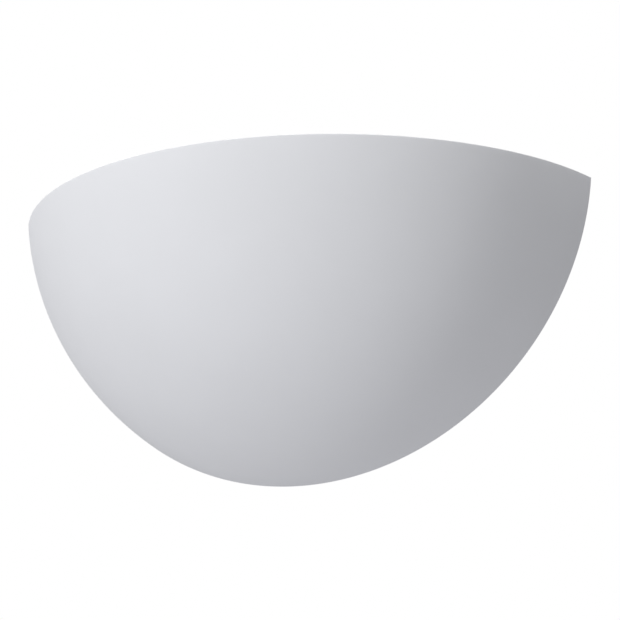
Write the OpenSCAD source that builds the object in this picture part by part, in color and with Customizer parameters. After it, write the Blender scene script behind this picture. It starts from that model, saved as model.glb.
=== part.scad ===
// Half-bowl plaster wall uplighter on a steel wall plate, with a screw-cap lamp lying along the wall.
// Millimetres. The wall is the plane y = 0, the room is at -y, and z is up.
// The origin is the centre of the wall-fixing slots, on the wall.

/* [Bowl] */
// Width of the rim where it meets the wall
bowl_w = 300; // [284:2:330]
// How far the rim stands out from the wall
bowl_proj = 135; // [130:1:140]
// Height from the lowest point to the rim
bowl_h = 133; // [126:1:150]
// How far the rim lies below the level where the curve would be widest
rim_drop = 11; // [6:1:16]
// Thickness of the cast plaster
bowl_t = 7; // [5.5:0.5:8.5]
// Rounding of the rim's two edges
rim_round = 1.5; // [0.6:0.1:2.4]
// Extra thickness of the edge that lies against the wall
lip_t = 5; // [3:0.5:6.5]
// Depth of that thick edge, measured out from the wall
lip_d = 8; // [5:0.5:9.5]

/* [Hanging] */
// Diameter of the two steel pins that the bowl hangs on
pin_d = 5; // [4:0.5:6]
// Level of the pins below the rim
pin_drop = 38; // [36:1:41]
// Distance of the pins from the wall
pin_out = 22; // [20:1:25]
// Length of pin cast into each boss
pin_hold = 18; // [14:1:19]
// Length of pin that shows past the plate's ear
pin_over = 6; // [4:0.5:8]
// Diameter of the plaster boss at its face
boss_d = 20; // [16:1:22]
// Gap between each boss and the plate's ear
boss_gap = 1; // [0.6:0.1:1.6]
// Gap between a pin and its slot
slot_gap = 0.3; // [0.2:0.05:0.5]
// Depth of the slot above the middle of a seated pin
slot_depth = 8; // [6:0.5:10]

/* [Wall plate] */
// Width over the two ears
plate_w = 210; // [204:2:214]
// Height over the two folded edges
plate_h = 44; // [42:1:48]
// Thickness of the steel
plate_t = 1.5; // [1.2:0.1:1.8]
// How far the plate's face stands off the wall
plate_stand = 8; // [7:0.5:10]
// Level of the fixing slots below the rim
plate_drop = 52; // [50:1:54]
// Inside radius of every fold
fold_r = 1.5; // [1:0.25:2]
// Reach of each ear from the plate's face
ear_reach = 22; // [20:1:26]
// Distance between the two fixing slots
fix_pitch = 60; // [56:1:64]
// Width of a fixing slot
fix_w = 5; // [4.5:0.25:5.5]
// Length of a fixing slot
fix_l = 11; // [9:0.5:12]
// Diameter of the cable entry in the plate
entry_d = 16; // [13:1:18]
// Bore of the rubber grommet in the cable entry
grommet_bore = 8; // [6:0.5:9.5]

/* [Lampholder] */
// Level of the lamp's axis below the rim
lamp_drop = 46; // [44:1:48]
// Distance of the lamp's axis from the wall
lamp_out = 54; // [51:1:57]
// Distance of the bracket's upright leg from the middle of the fitting
holder_off = 70; // [66:1:72]
// Width of the holder's bracket
bracket_w = 28; // [24:1:30]
// Length of the bracket's foot on the plate
foot_l = 28; // [24:1:30]
// Outer diameter of the holder
holder_d = 41; // [39:0.5:43]
// Wall of the holder's shroud
shroud_t = 3; // [2.5:0.25:3.5]
// Diameter of the threaded entry nipple
nipple_d = 10; // [9:0.5:11]

/* [Lamp] */
// Widest diameter of the lamp
lamp_d = 60; // [55:1:64]
// Length of the lamp from its contact to its tip
lamp_l = 108; // [104:1:112]
// Mean diameter of the cap's rolled thread
thread_d = 25.4; // [25:0.1:25.8]
// Pitch of the thread
thread_pitch = 3.63; // [3.2:0.01:4]
// Depth of the thread
thread_depth = 0.9; // [0.6:0.05:1.1]
// Radial gap between the cap and the holder's screw shell
thread_gap = 0.4; // [0.3:0.05:0.6]

/* [Wiring] */
// Distance between the poles of the terminal block
pole_pitch = 10; // [9:0.5:11]
// Distance of the terminal block's middle from the ear's outer face
block_in = 43; // [41:1:45]
// Diameter of the insulated wires
wire_d = 2; // [1.8:0.1:2.2]
// Outer diameter of the woven sleeve
sleeve_d = 6.4; // [6:0.1:6.8]

/* [Hidden] */
$fn = 96;

plaster = [0.93, 0.93, 0.92];
plate_white = [0.88, 0.88, 0.86];
zinc = [0.72, 0.73, 0.75];
brass = [0.78, 0.64, 0.34];
nickel = [0.76, 0.75, 0.72];
porcelain = [0.92, 0.91, 0.88];
opal = [0.96, 0.96, 0.94];

// Bowl: a spheroid of revolution whose axis lies a little behind the wall, so that the rim is a
// circular arc through the two wall corners and the front.
rim_z = plate_drop;
rim_r = (pow(bowl_proj, 2) + pow(bowl_w / 2, 2)) / (2 * bowl_proj);
axis_y = rim_r - bowl_proj;
wide_z = rim_z + rim_drop;
wall_share = pow(axis_y / rim_r, 2);
semi_v = sqrt((pow(bowl_h + rim_drop, 2) - wall_share * pow(rim_drop, 2)) / (1 - wall_share));
semi_r = rim_r / sqrt(1 - pow(rim_drop / semi_v, 2));
far = 2 * bowl_w;

// Radius of the bowl's surface, inset by some thickness, at a level z.
function bowl_r(z, inset) =
    (semi_r - inset) * sqrt(max(0, 1 - pow((z - wide_z) / (semi_v - inset), 2)));
// Half width of the bowl's inside at a point y from the wall and a level z.
function inside_x(y, z) = sqrt(pow(bowl_r(z, bowl_t), 2) - pow(axis_y - y, 2));

// Hanging
pin_z = rim_z - pin_drop;
ear_x = plate_w / 2;
boss_x = ear_x + boss_gap;
boss_flare = 3;
anchor_d = 2 * pin_d;
anchor_l = 2;
ear_below = 14;
lead_in = 2;

// Wall plate
fold_out = plate_t + fold_r;
flat_h = plate_h - 2 * fold_out;
plate_back = -(plate_stand - plate_t);
edge_clear = 22;
corner_r = 10;

// Lampholder, measured along the lamp's axis from the face of its bracket
lamp_z = rim_z - lamp_drop;
rivet_d = 4;
rivet_pitch = 15;
nipple_bore = nipple_d - 3;
nipple_in = 4;
nut_af = 1.5 * nipple_d;
nut_t = 3;
washer_t = 0.8;
nipple_out = plate_t + washer_t + nut_t + 2;
base_l = 12;
joint_l = 3;
holder_l = 46;
block_l = 8;
block_top = base_l + block_l;
lamp_seat = block_top + 3;
shell_t = 0.4;
shell_end = lamp_seat + 20;
plunger_gap = 0.3;
plunger_head_d = 8;
plunger_d = 4.6;
spring_wire = 0.6;
spring_room = 5;
clip_t = 0.8;
thread_start = lamp_seat + 5;
pole_r = 9;
terminal_l = 4;
terminal_screw_d = 1.6;

// Lamp, measured along its axis from the tip of its contact
cap_l = 27;
cap_thread_end = 23;
cap_collar_d = thread_d + 1.8;
cap_root_r = (thread_d - thread_depth) / 2;
cap_glass_l = 4;
eyelet_l = 1.2;
dome_r = lamp_d / 2;
dome_c = lamp_l - dome_r;
seam_w = dome_c - 10;
seam_r = sqrt(pow(dome_r, 2) - pow(dome_c - seam_w, 2));
dome_t = 1.5;
board_t = 1.5;
body_wall = 2;

// Wiring
block_d = 14;
block_h = 18;
block_z = -1;
block_off = ear_x - block_in;
insert_d = 6;
insert_bore = 3.2;
block_w = 3 * pole_pitch + 2;
clamp_off = 4;
clamp_d = 3;
clamp_access = 4.2;
mount_screw_d = 3;
mount_head_d = 5;
mount_head_depth = 4;
neutral_x = block_off - pole_pitch;
live_x = block_off;
earth_x = block_off + pole_pitch;
wire_y = -(plate_stand + block_d / 2);
stud_d = 4;
stud_x = ear_x - 14;
stud_z = 2;
tag_t = 0.8;
barrel_drop = 7;
barrel_l = 5;

// ---- Shapes used by more than one piece ----

// The curved wall between two depths below the bowl's outer surface, up to the rim.
module curved_wall(outer, inner) {
    translate([0, axis_y, 0])
        rotate_extrude()
            difference() {
                intersection() {
                    spheroid_section(outer);
                    translate([0, rim_z - far])
                        square([far, far]);
                }
                spheroid_section(inner);
            }
}

module spheroid_section(inset) {
    a = semi_r - inset;
    b = semi_v - inset;
    translate([0, wide_z])
        scale([1, b / a])
            circle(r = a);
}

// A solid that fills the bowl to some depth below its outer surface.
module bowl_fill(inset) {
    translate([0, axis_y, 0])
        rotate_extrude()
            intersection() {
                spheroid_section(inset);
                translate([0, rim_z - far])
                    square([far, far]);
            }
}

module room_side(depth) {
    translate([-far / 2, -depth, -far / 2])
        cube([far, depth, far]);
}

module both_sides() {
    children();
    mirror([1, 0, 0])
        children();
}

// Moves to the lamp's axis: local z runs from the bracket's face towards the lamp.
module on_lamp_axis() {
    translate([-holder_off, -lamp_out, lamp_z])
        rotate([0, 90, 0])
            children();
}

// Moves to a point on the plate's face, with local z pointing into the room.
module on_plate(x, z) {
    translate([x, -plate_stand, z])
        rotate([90, 0, 0])
            children();
}

module rounded_rect(w, h, r) {
    square([w - 2 * r, h], center = true);
    square([w, h - 2 * r], center = true);
    for (sx = [-1, 1], sy = [-1, 1])
        translate([sx * (w / 2 - r), sy * (h / 2 - r)])
            circle(r = r);
}

module slot_2d(l, w) {
    square([l - w, w], center = true);
    for (s = [-1, 1])
        translate([s * (l - w) / 2, 0])
            circle(d = w);
}

// Quarter of a folded sheet: centre at the origin, from +x round to +y.
module fold_2d() {
    intersection() {
        difference() {
            circle(r = fold_out);
            circle(r = fold_r);
        }
        square(fold_out);
    }
}

module ring(d_out, d_in, h) {
    difference() {
        cylinder(d = d_out, h = h);
        translate([0, 0, -1])
            cylinder(d = d_in, h = h + 2);
    }
}

module hex_nut(af, bore, t) {
    difference() {
        intersection() {
            cylinder(d = 2 * af / sqrt(3), h = t, $fn = 6);
            cylinder(r1 = af / sqrt(3) - 0.9 * t, r2 = af / sqrt(3) + 1.6 * t, h = t);
        }
        translate([0, 0, -1])
            cylinder(d = bore, h = t + 2);
    }
}

// A screw with a domed, slotted head; its head rests on z = 0.
module slotted_screw(d, l, head_d, head_h) {
    translate([0, 0, -l])
        cylinder(d = d, h = l + head_h / 2);
    difference() {
        union() {
            cylinder(d = head_d, h = head_h * 0.6);
            translate([0, 0, head_h * 0.6])
                cylinder(d1 = head_d, d2 = head_d * 0.7, h = head_h * 0.4);
        }
        translate([-head_d, -head_d / 12, head_h * 0.5])
            cube([2 * head_d, head_d / 6, head_h]);
    }
}

// ---- Swept tubes ----

function unit(v) = v / norm(v);
// A point on the smooth curve through p, at knot i and share t of the way to the next.
function knot(p, i) = p[max(0, min(len(p) - 1, i))];
function curve_point(p, i, t) =
    0.5 * (2 * knot(p, i)
        + (knot(p, i + 1) - knot(p, i - 1)) * t
        + (2 * knot(p, i - 1) - 5 * knot(p, i) + 4 * knot(p, i + 1) - knot(p, i + 2)) * t * t
        + (3 * knot(p, i) - knot(p, i - 1) - 3 * knot(p, i + 1) + knot(p, i + 2)) * t * t * t);
function smooth_path(p, steps) = concat(
    [for (i = [0:len(p) - 2], k = [0:steps - 1]) curve_point(p, i, k / steps)],
    [p[len(p) - 1]]);
function tangent(c, i) = unit(c[min(i + 1, len(c) - 1)] - c[max(i - 1, 0)]);
// Side vectors that turn as little as possible along the curve.
function side_vectors(c, i, last, out) =
    i == len(c) ? out
    : let (t = tangent(c, i), s = unit(last - (last * t) * t))
        side_vectors(c, i + 1, s, concat(out, [s]));
function ring_points(c, sides, r, n) = [
    for (i = [0:len(c) - 1])
        let (t = tangent(c, i), s = sides[i], u = cross(t, s))
            for (k = [0:n - 1]) c[i] + r * (cos(360 * k / n) * s + sin(360 * k / n) * u)];
// Triangles between rings of n points; flip turns them to face the other way.
function band(first, rings, n, flip) = [
    for (i = [0:rings - 2], k = [0:n - 1], half = [0, 1])
        let (a = first + i * n + k, b = first + i * n + (k + 1) % n,
             tri = half == 0 ? [a, b, b + n] : [a, b + n, a + n])
            flip ? [tri[0], tri[2], tri[1]] : tri];
function end_ring(outer, inner, n, flip) = [
    for (k = [0:n - 1], half = [0, 1])
        let (m = (k + 1) % n,
             tri = half == 0 ? [outer + k, inner + k, inner + m] : [outer + k, inner + m, outer + m])
            flip ? [tri[0], tri[2], tri[1]] : tri];
function end_fan(first, n, flip) = [
    for (k = [1:n - 2]) flip ? [first, first + k, first + k + 1] : [first, first + k + 1, first + k]];

// A solid round wire along a smooth curve through p.
module wire(p, d, steps = 3, n = 8) {
    c = smooth_path(p, steps);
    s = side_vectors(c, 0, [0, 1, 0], []);
    m = len(c);
    polyhedron(ring_points(c, s, d / 2, n),
        concat(band(0, m, n, true), end_fan(0, n, true), end_fan((m - 1) * n, n, false)));
}

// A hollow tube along the same sort of curve.
module hose(p, d, bore, steps = 3, n = 8) {
    c = smooth_path(p, steps);
    s = side_vectors(c, 0, [0, 1, 0], []);
    m = len(c);
    polyhedron(concat(ring_points(c, s, d / 2, n), ring_points(c, s, bore / 2, n)),
        concat(band(0, m, n, true), band(m * n, m, n, false),
            end_ring(0, m * n, n, true), end_ring((m - 1) * n, (2 * m - 1) * n, n, false)));
}

// ---- Rolled screw thread ----

thread_sides = 24;
rows_per_turn = 6;
flare_l = 1.6;
// How far the right-hand thread stands out from its mean at height w and angle a. It fades in and
// out at its ends, to its crest where rest is 1 and to its root where rest is -1.
function fade(w, from, to) = max(0, min(1, (w - from) / 2, (to - w) / 2));
function thread_wave(w, a, from, to, rest) =
    let (f = fade(w, from, to))
        thread_depth / 2 * (f * cos(360 * w / thread_pitch - a) + (1 - f) * rest);
function thread_rings(z0, z1, r, from, to, rest, flare) = [
    let (rows = ceil((z1 - z0) / thread_pitch * rows_per_turn))
        for (i = [0:rows], k = [0:thread_sides - 1])
            let (w = z0 + (z1 - z0) * i / rows, a = 360 * k / thread_sides,
                 q = r + thread_wave(w, a, from, to, rest) + flare * max(0, min(1, (w - to) / flare_l)))
                [q * cos(a), q * sin(a), w]];
// A thin sheet tube from z0 to z1 with the thread rolled into it between two heights. Past the
// thread it widens by flare.
module rolled_tube(z0, z1, r_out, r_in, from, to, rest, flare = 0) {
    n = thread_sides;
    skin = thread_rings(z0, z1, r_out, from, to, rest, flare);
    lining = thread_rings(z0, z1, r_in, from, to, rest, flare);
    m = len(skin) / n;
    polyhedron(concat(skin, lining),
        concat(band(0, m, n, true), band(m * n, m, n, false),
            end_ring(0, m * n, n, true), end_ring((m - 1) * n, (2 * m - 1) * n, n, false)));
}

// ---- Bowl ----

// Cuts one edge of the rim round: x is where the wall's face meets the rim, side is which way it faces.
module rim_cutter(x, side) {
    translate([x, rim_z])
        scale([side, 1])
            polygon(concat([[1, 1], [-rim_round, 1]],
                [for (a = [90:-15:0]) rim_round * [cos(a) - 1, sin(a) - 1]], [[1, -rim_round]]));
}

module pin_shape() {
    translate([ear_x - plate_t - pin_over, -pin_out, pin_z])
        rotate([0, 90, 0])
            cylinder(d = pin_d, h = pin_over + plate_t + boss_gap + pin_hold);
    translate([boss_x + pin_hold - anchor_l, -pin_out, pin_z])
        rotate([0, 90, 0])
            cylinder(d = anchor_d, h = anchor_l);
}

module boss() {
    reach = far / 4;
    flare = boss_flare * reach / (inside_x(-pin_out, pin_z) - boss_x);
    intersection() {
        translate([boss_x, -pin_out, pin_z])
            rotate([0, 90, 0])
                cylinder(d1 = boss_d, d2 = boss_d + 2 * flare, h = reach);
        bowl_fill(bowl_t / 2);
    }
}

module bowl() {
    color(plaster)
        difference() {
            union() {
                intersection() {
                    curved_wall(0, bowl_t);
                    room_side(far);
                }
                intersection() {
                    curved_wall(bowl_t / 2, bowl_t + lip_t);
                    room_side(lip_d);
                }
                both_sides()
                    boss();
            }
            both_sides()
                pin_shape();
            translate([0, axis_y, 0])
                rotate_extrude() {
                    rim_cutter(bowl_r(rim_z, 0), 1);
                    rim_cutter(bowl_r(rim_z, bowl_t), -1);
                }
        }
}

module hanger_pins() {
    color(zinc)
        both_sides()
            pin_shape();
}

// ---- Wall plate ----

// One folded edge, drawn along x, that turns back to the wall.
module plate_edge() {
    len_x = plate_w - 2 * edge_clear;
    translate([-len_x / 2, 0, 0])
        rotate([90, 0, 90])
            linear_extrude(len_x) {
                translate([-plate_stand + fold_out, flat_h / 2])
                    rotate(90)
                        fold_2d();
                translate([-plate_stand + fold_out, plate_h / 2 - plate_t])
                    square([plate_stand - fold_out, plate_t]);
            }
}

// An ear at the plate's +x end, folded into the room, with an open slot for a pin.
module plate_ear() {
    low = pin_z - ear_below;
    tall = ear_below + slot_depth;
    pin_hole = pin_d + 2 * slot_gap;
    difference() {
        intersection() {
            translate([0, 0, low])
                linear_extrude(tall) {
                    translate([ear_x - fold_out, plate_back - fold_out])
                        fold_2d();
                    translate([ear_x - plate_t, -plate_stand - ear_reach])
                        square([plate_t, ear_reach + plate_t - fold_out]);
                    translate([ear_x - 2 * fold_out, -plate_stand])
                        square([fold_out, plate_t]);
                }
            translate([0, plate_back - (ear_reach + plate_t) / 2, low + tall / 2])
                rotate([90, 0, 90])
                    linear_extrude(far)
                        rounded_rect(ear_reach + plate_t, tall, 3);
        }
        translate([ear_x - 2 * plate_t, -pin_out, pin_z])
            rotate([90, 0, 90])
                linear_extrude(3 * plate_t) {
                    circle(d = pin_hole);
                    translate([-pin_hole / 2, 0])
                        square([pin_hole, far]);
                    translate([0, slot_depth])
                        polygon([[-pin_hole / 2 - lead_in, 1], [-pin_hole / 2, -lead_in],
                                 [pin_hole / 2, -lead_in], [pin_hole / 2 + lead_in, 1]]);
                }
    }
}

module plate_holes() {
    circle(d = entry_d);
    for (s = [-1, 1])
        translate([s * fix_pitch / 2, 0])
            slot_2d(fix_l, fix_w);
    for (s = [-1, 1])
        translate([-holder_off + foot_l / 2, lamp_z + s * rivet_pitch / 2])
            circle(d = rivet_d);
    for (s = [-1, 1])
        translate([block_off + s * pole_pitch / 2, block_z])
            circle(d = mount_screw_d);
    translate([stud_x, stud_z])
        circle(d = stud_d);
}

module wall_plate() {
    color(plate_white) {
        difference() {
            union() {
                translate([0, plate_back, 0])
                    rotate([90, 0, 0])
                        linear_extrude(plate_t)
                            rounded_rect(plate_w - 2 * fold_out, flat_h, corner_r);
                plate_edge();
                mirror([0, 0, 1])
                    plate_edge();
                both_sides()
                    plate_ear();
            }
            translate([0, 1, 0])
                rotate([90, 0, 0])
                    linear_extrude(plate_stand + 2)
                        plate_holes();
        }
    }
}

module cable_grommet() {
    flange = 2;
    rim = 3;
    color([0.12, 0.12, 0.12])
        on_plate(0, 0)
            rotate_extrude()
                polygon([[grommet_bore / 2, -plate_t - flange], [entry_d / 2 + rim - 1, -plate_t - flange],
                         [entry_d / 2 + rim, -plate_t], [entry_d / 2, -plate_t], [entry_d / 2, 0],
                         [entry_d / 2 + rim, 0], [entry_d / 2 + rim - 1, flange],
                         [grommet_bore / 2 + 0.6, flange], [grommet_bore / 2, flange - 0.6]]);
}

// ---- Lampholder ----

// The bracket's side view: an L with a folded corner, its foot on the plate.
module holder_bracket() {
    leg = lamp_out - plate_stand;
    color(zinc)
        difference() {
            union() {
                translate([-holder_off - plate_t, 0, lamp_z - bracket_w / 2])
                    linear_extrude(bracket_w) {
                        translate([fold_out, -plate_stand - fold_out])
                            rotate(90)
                                fold_2d();
                        translate([fold_out, -plate_stand - plate_t])
                            square([foot_l + plate_t - fold_out, plate_t]);
                        translate([0, -plate_stand - leg])
                            square([plate_t, leg - fold_out]);
                    }
                on_lamp_axis()
                    translate([0, 0, -plate_t])
                        cylinder(d = bracket_w, h = plate_t);
            }
            on_lamp_axis()
                translate([0, 0, -2 * plate_t])
                    cylinder(d = nipple_d, h = 3 * plate_t);
            for (s = [-1, 1])
                on_plate(-holder_off + foot_l / 2, lamp_z + s * rivet_pitch / 2)
                    translate([0, 0, -1])
                        cylinder(d = rivet_d, h = plate_t + 2);
        }
}

module bracket_rivets() {
    head = 1.4;
    color(zinc)
        for (s = [-1, 1])
            on_plate(-holder_off + foot_l / 2, lamp_z + s * rivet_pitch / 2) {
                translate([0, 0, -plate_t - head])
                    cylinder(d = rivet_d, h = 2 * (plate_t + head));
                translate([0, 0, plate_t])
                    cylinder(d1 = 1.9 * rivet_d, d2 = rivet_d, h = head);
                translate([0, 0, -plate_t - head])
                    cylinder(d1 = 1.3 * rivet_d, d2 = 1.6 * rivet_d, h = head);
            }
}

module nipple() {
    color(zinc)
        on_lamp_axis()
            translate([0, 0, -nipple_out])
                ring(nipple_d, nipple_bore, nipple_out + nipple_in);
}

module nipple_washer() {
    teeth = 12;
    color(zinc)
        on_lamp_axis()
            translate([0, 0, -plate_t - washer_t])
                difference() {
                    cylinder(d = nut_af + 2, h = washer_t);
                    translate([0, 0, -1])
                        cylinder(d = nipple_d, h = washer_t + 2);
                    for (k = [0:teeth - 1])
                        rotate(k * 360 / teeth)
                            translate([nut_af / 2 + 0.6, -0.6, -1])
                                cube([2, 1.2, washer_t + 2]);
                }
}

module nipple_nut() {
    color(zinc)
        on_lamp_axis()
            translate([0, 0, -plate_t - washer_t])
                mirror([0, 0, 1])
                    hex_nut(nut_af, nipple_d, nut_t);
}

module holder_base() {
    r = holder_d / 2;
    spigot = r - shroud_t / 2;
    room = spigot - 3;
    shoulder = base_l - joint_l;
    color(porcelain)
        on_lamp_axis()
            rotate_extrude()
                polygon(concat([[nipple_d / 2, 0]],
                    [for (a = [0:15:90]) [r - 7 + 7 * sin(a), 7 - 7 * cos(a)]],
                    [[r, shoulder], [spigot, shoulder], [spigot, base_l], [room, base_l],
                     [room, nipple_in], [nipple_d / 2, nipple_in]]));
}

module holder_shroud() {
    r = holder_d / 2;
    joint = r - shroud_t / 2;
    bore = r - shroud_t;
    lip_r = shroud_t / 2;
    color(porcelain)
        on_lamp_axis()
            rotate_extrude()
                polygon(concat(
                    [[joint, base_l - joint_l], [r, base_l - joint_l], [r, base_l + 14],
                     [r - 0.6, base_l + 15], [r - 0.6, holder_l - lip_r]],
                    [for (a = [0:30:180]) [r - 0.6 - lip_r + lip_r * cos(a), holder_l - lip_r + lip_r * sin(a)]],
                    [[bore - 0.6, holder_l - lip_r], [bore - 0.6, block_top + 4], [bore, block_top + 3],
                     [bore, base_l], [joint, base_l]]));
}

module contact_block() {
    r = holder_d / 2 - shroud_t - 0.1;
    color(porcelain)
        on_lamp_axis()
            difference() {
                translate([0, 0, base_l])
                    cylinder(r = r, h = block_l);
                translate([0, 0, base_l - 1])
                    cylinder(d = plunger_d + 0.2, h = block_l + 2);
                translate([0, 0, block_top - spring_room])
                    cylinder(d = plunger_head_d + 0.6, h = spring_room + 1);
            }
}

// The sheet tube that takes the lamp's cap, standing on the contact block.
module screw_shell() {
    r = thread_d / 2 + thread_gap;
    color(brass)
        on_lamp_axis()
            rolled_tube(block_top, shell_end, r + shell_t, r, lamp_seat, shell_end, 1);
}

module holder_terminals() {
    color(brass)
        on_lamp_axis()
            for (s = [-1, 1])
                translate([s * pole_r, 0, base_l - terminal_l])
                    difference() {
                        translate([-2, -3, 0])
                            cube([4, 6, terminal_l]);
                        translate([0, 0, -1])
                            cylinder(d = wire_d + 0.8, h = terminal_l);
                        translate([0, 0, terminal_l / 2])
                            rotate([0, s * 90, 0])
                                cylinder(d = terminal_screw_d, h = terminal_l);
                    }
}

module holder_terminal_screws() {
    color(zinc)
        on_lamp_axis()
            for (s = [-1, 1])
                translate([s * (pole_r + 2), 0, base_l - terminal_l / 2])
                    rotate([0, s * 90, 0])
                        slotted_screw(terminal_screw_d, 2 - wire_d / 2 - 0.1, 3, 1.2);
}

module contact_plunger() {
    tip = lamp_seat - plunger_gap;
    travel = thread_pitch;
    head_l = 2;
    color(brass)
        on_lamp_axis() {
            translate([0, 0, tip - head_l])
                cylinder(d = plunger_head_d, h = head_l - 0.5);
            translate([0, 0, tip - 0.5])
                cylinder(d1 = plunger_head_d, d2 = plunger_head_d - 1.6, h = 0.5);
            difference() {
                translate([0, 0, base_l - travel - 2.2])
                    cylinder(d = plunger_d, h = tip - base_l + travel + 1);
                translate([0, 0, base_l - travel - 0.3 - clip_t])
                    ring(plunger_d + 2, plunger_d - 1.2, clip_t);
            }
        }
}

module plunger_clip() {
    color(zinc)
        on_lamp_axis()
            translate([0, 0, base_l - thread_pitch - 0.3 - clip_t])
                difference() {
                    ring(plunger_d + 4, plunger_d - 1.2, clip_t);
                    translate([0, -1.2, -1])
                        cube([plunger_d, 2.4, clip_t + 2]);
                }
}

// A compressed coil spring between the block's recess and the plunger's head.
module plunger_spring() {
    low = block_top - spring_room + spring_wire / 2;
    high = lamp_seat - plunger_gap - 2 - spring_wire / 2;
    turns = 4;
    n = 16;
    r = (plunger_d + plunger_head_d + 0.6) / 4;
    color(zinc)
        on_lamp_axis()
            wire([for (i = [0:turns * n])
                    [r * cos(360 * i / n), r * sin(360 * i / n), low + (high - low) * i / (turns * n)]],
                spring_wire, 1, 6);
}

// ---- Lamp ----

module on_lamp() {
    on_lamp_axis()
        translate([0, 0, lamp_seat])
            children();
}

module lamp_cap() {
    r = thread_d / 2;
    color(nickel)
        on_lamp_axis()
            rolled_tube(lamp_seat + cap_glass_l, lamp_seat + cap_l, r, r - shell_t, thread_start,
                lamp_seat + cap_thread_end, -1, cap_collar_d / 2 - cap_root_r);
}

module cap_insulator() {
    r = cap_root_r;
    plug = (r - shell_t) * cos(180 / thread_sides) - 0.05;
    l = cap_glass_l;
    color([0.1, 0.1, 0.11])
        on_lamp()
            rotate_extrude()
                polygon([[0, eyelet_l], [5, eyelet_l], [r - 1.2, l - 0.6], [r, l], [plug, l],
                         [plug, l + 2], [0, l + 2]]);
}

module cap_eyelet() {
    color(zinc)
        on_lamp()
            cylinder(d1 = 7, d2 = 9.5, h = eyelet_l);
}

// Lower half of the lamp: a moulded body that flares from the cap to the seam with the dome.
module lamp_body() {
    neck = cap_collar_d / 2 - shell_t - 0.3;
    foot = neck + 0.4;
    steps = 12;
    function flare_r(t) = foot + (seam_r - foot) * pow(sin(90 * t), 1.35);
    function flare_w(t) = cap_l + 0.1 + (seam_w - cap_l - 0.1) * t;
    color(opal)
        on_lamp()
            rotate_extrude()
                polygon(concat(
                    [for (i = [0:steps]) [flare_r(i / steps), flare_w(i / steps)]],
                    [for (i = [steps:-1:0]) [flare_r(i / steps) - body_wall, flare_w(i / steps)]],
                    [[neck - body_wall, cap_thread_end + 1], [neck - 0.2, cap_thread_end + 2],
                     [neck, cap_l + 0.1]]));
}

module lamp_dome() {
    color(opal)
        on_lamp()
            difference() {
                translate([0, 0, dome_c])
                    sphere(r = dome_r);
                translate([0, 0, dome_c])
                    sphere(r = dome_r - dome_t);
                translate([-lamp_d, -lamp_d, seam_w - 2 * lamp_d])
                    cube(2 * lamp_d);
            }
}

module led_board() {
    color([0.85, 0.85, 0.83])
        on_lamp()
            translate([0, 0, seam_w - board_t - 1])
                cylinder(r = seam_r - body_wall - 0.4, h = board_t);
}

module led_chips() {
    count = 9;
    color([0.95, 0.85, 0.45])
        on_lamp()
            for (k = [0:count - 1])
                rotate(k * 360 / count)
                    translate([seam_r * 0.6 - 1.5, -1.5, seam_w - 1])
                        cube([3, 3, 0.8]);
}

// ---- Wiring ----

module at_poles() {
    for (x = [neutral_x, live_x, earth_x])
        translate([x, wire_y, block_z])
            children();
}

module terminal_block() {
    groove = 1.6;
    color([0.93, 0.92, 0.87])
        difference() {
            on_plate(block_off, block_z)
                linear_extrude(block_d)
                    rounded_rect(block_w, block_h, 1.5);
            at_poles() {
                translate([0, 0, -block_h])
                    cylinder(d = insert_d, h = 2 * block_h);
                for (s = [-1, 1])
                    translate([0, 0, s * clamp_off])
                        rotate([90, 0, 0])
                            cylinder(d = clamp_access, h = block_d);
            }
            for (s = [-1, 1]) {
                on_plate(block_off + s * pole_pitch / 2, block_z) {
                    translate([-groove / 2, -block_h, block_d - mount_head_depth])
                        cube([groove, 2 * block_h, block_d]);
                    translate([0, 0, -1])
                        cylinder(d = mount_screw_d, h = block_d + 2);
                    translate([0, 0, block_d - mount_head_depth])
                        cylinder(d = mount_head_d + 0.4, h = block_d);
                }
            }
        }
}

module terminal_inserts() {
    color(brass)
        difference() {
            at_poles()
                translate([0, 0, -block_h / 2 + 1.5])
                    cylinder(d = insert_d, h = block_h - 3);
            at_poles()
                translate([0, 0, -block_h])
                    cylinder(d = insert_bore, h = 2 * block_h);
            at_poles()
                for (s = [-1, 1])
                    translate([0, 0, s * clamp_off])
                        rotate([90, 0, 0])
                            cylinder(d = clamp_d, h = block_d);
        }
}

module terminal_screws() {
    color(zinc)
        at_poles()
            for (s = [-1, 1])
                translate([0, -insert_d / 2, s * clamp_off])
                    rotate([90, 0, 0])
                        slotted_screw(clamp_d, (insert_d - wire_d) / 2 - 0.1, clamp_access - 0.4, 1.6);
}

module block_screws() {
    color(zinc)
        for (s = [-1, 1])
            on_plate(block_off + s * pole_pitch / 2, block_z)
                translate([0, 0, block_d - mount_head_depth])
                    slotted_screw(mount_screw_d, block_d - mount_head_depth + plate_t + 2, mount_head_d, 2);
}

module earth_stud() {
    color(zinc)
        on_plate(stud_x, stud_z) {
            translate([0, 0, -plate_t - 1])
                cylinder(d = stud_d, h = plate_t + 12);
            translate([0, 0, -plate_t - 2])
                cylinder(d = 2 * stud_d, h = 2);
        }
}

module earth_washer() {
    color(zinc)
        on_plate(stud_x, stud_z)
            ring(2 * stud_d + 1, stud_d, washer_t);
}

// A ring tongue with a crimped barrel that points down to the wire.
module earth_tag() {
    color(nickel)
        on_plate(stud_x, stud_z)
            translate([0, 0, washer_t]) {
                difference() {
                    union() {
                        cylinder(d = 2 * stud_d, h = tag_t);
                        translate([-1.8, -barrel_drop - 2, 0])
                            cube([3.6, barrel_drop, tag_t]);
                    }
                    translate([0, 0, -1])
                        cylinder(d = stud_d, h = tag_t + 2);
                }
                translate([0, -barrel_drop, tag_t + wire_d / 2])
                    rotate([90, 0, 0])
                        ring(wire_d + 2, wire_d + 0.3, barrel_l);
            }
}

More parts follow.
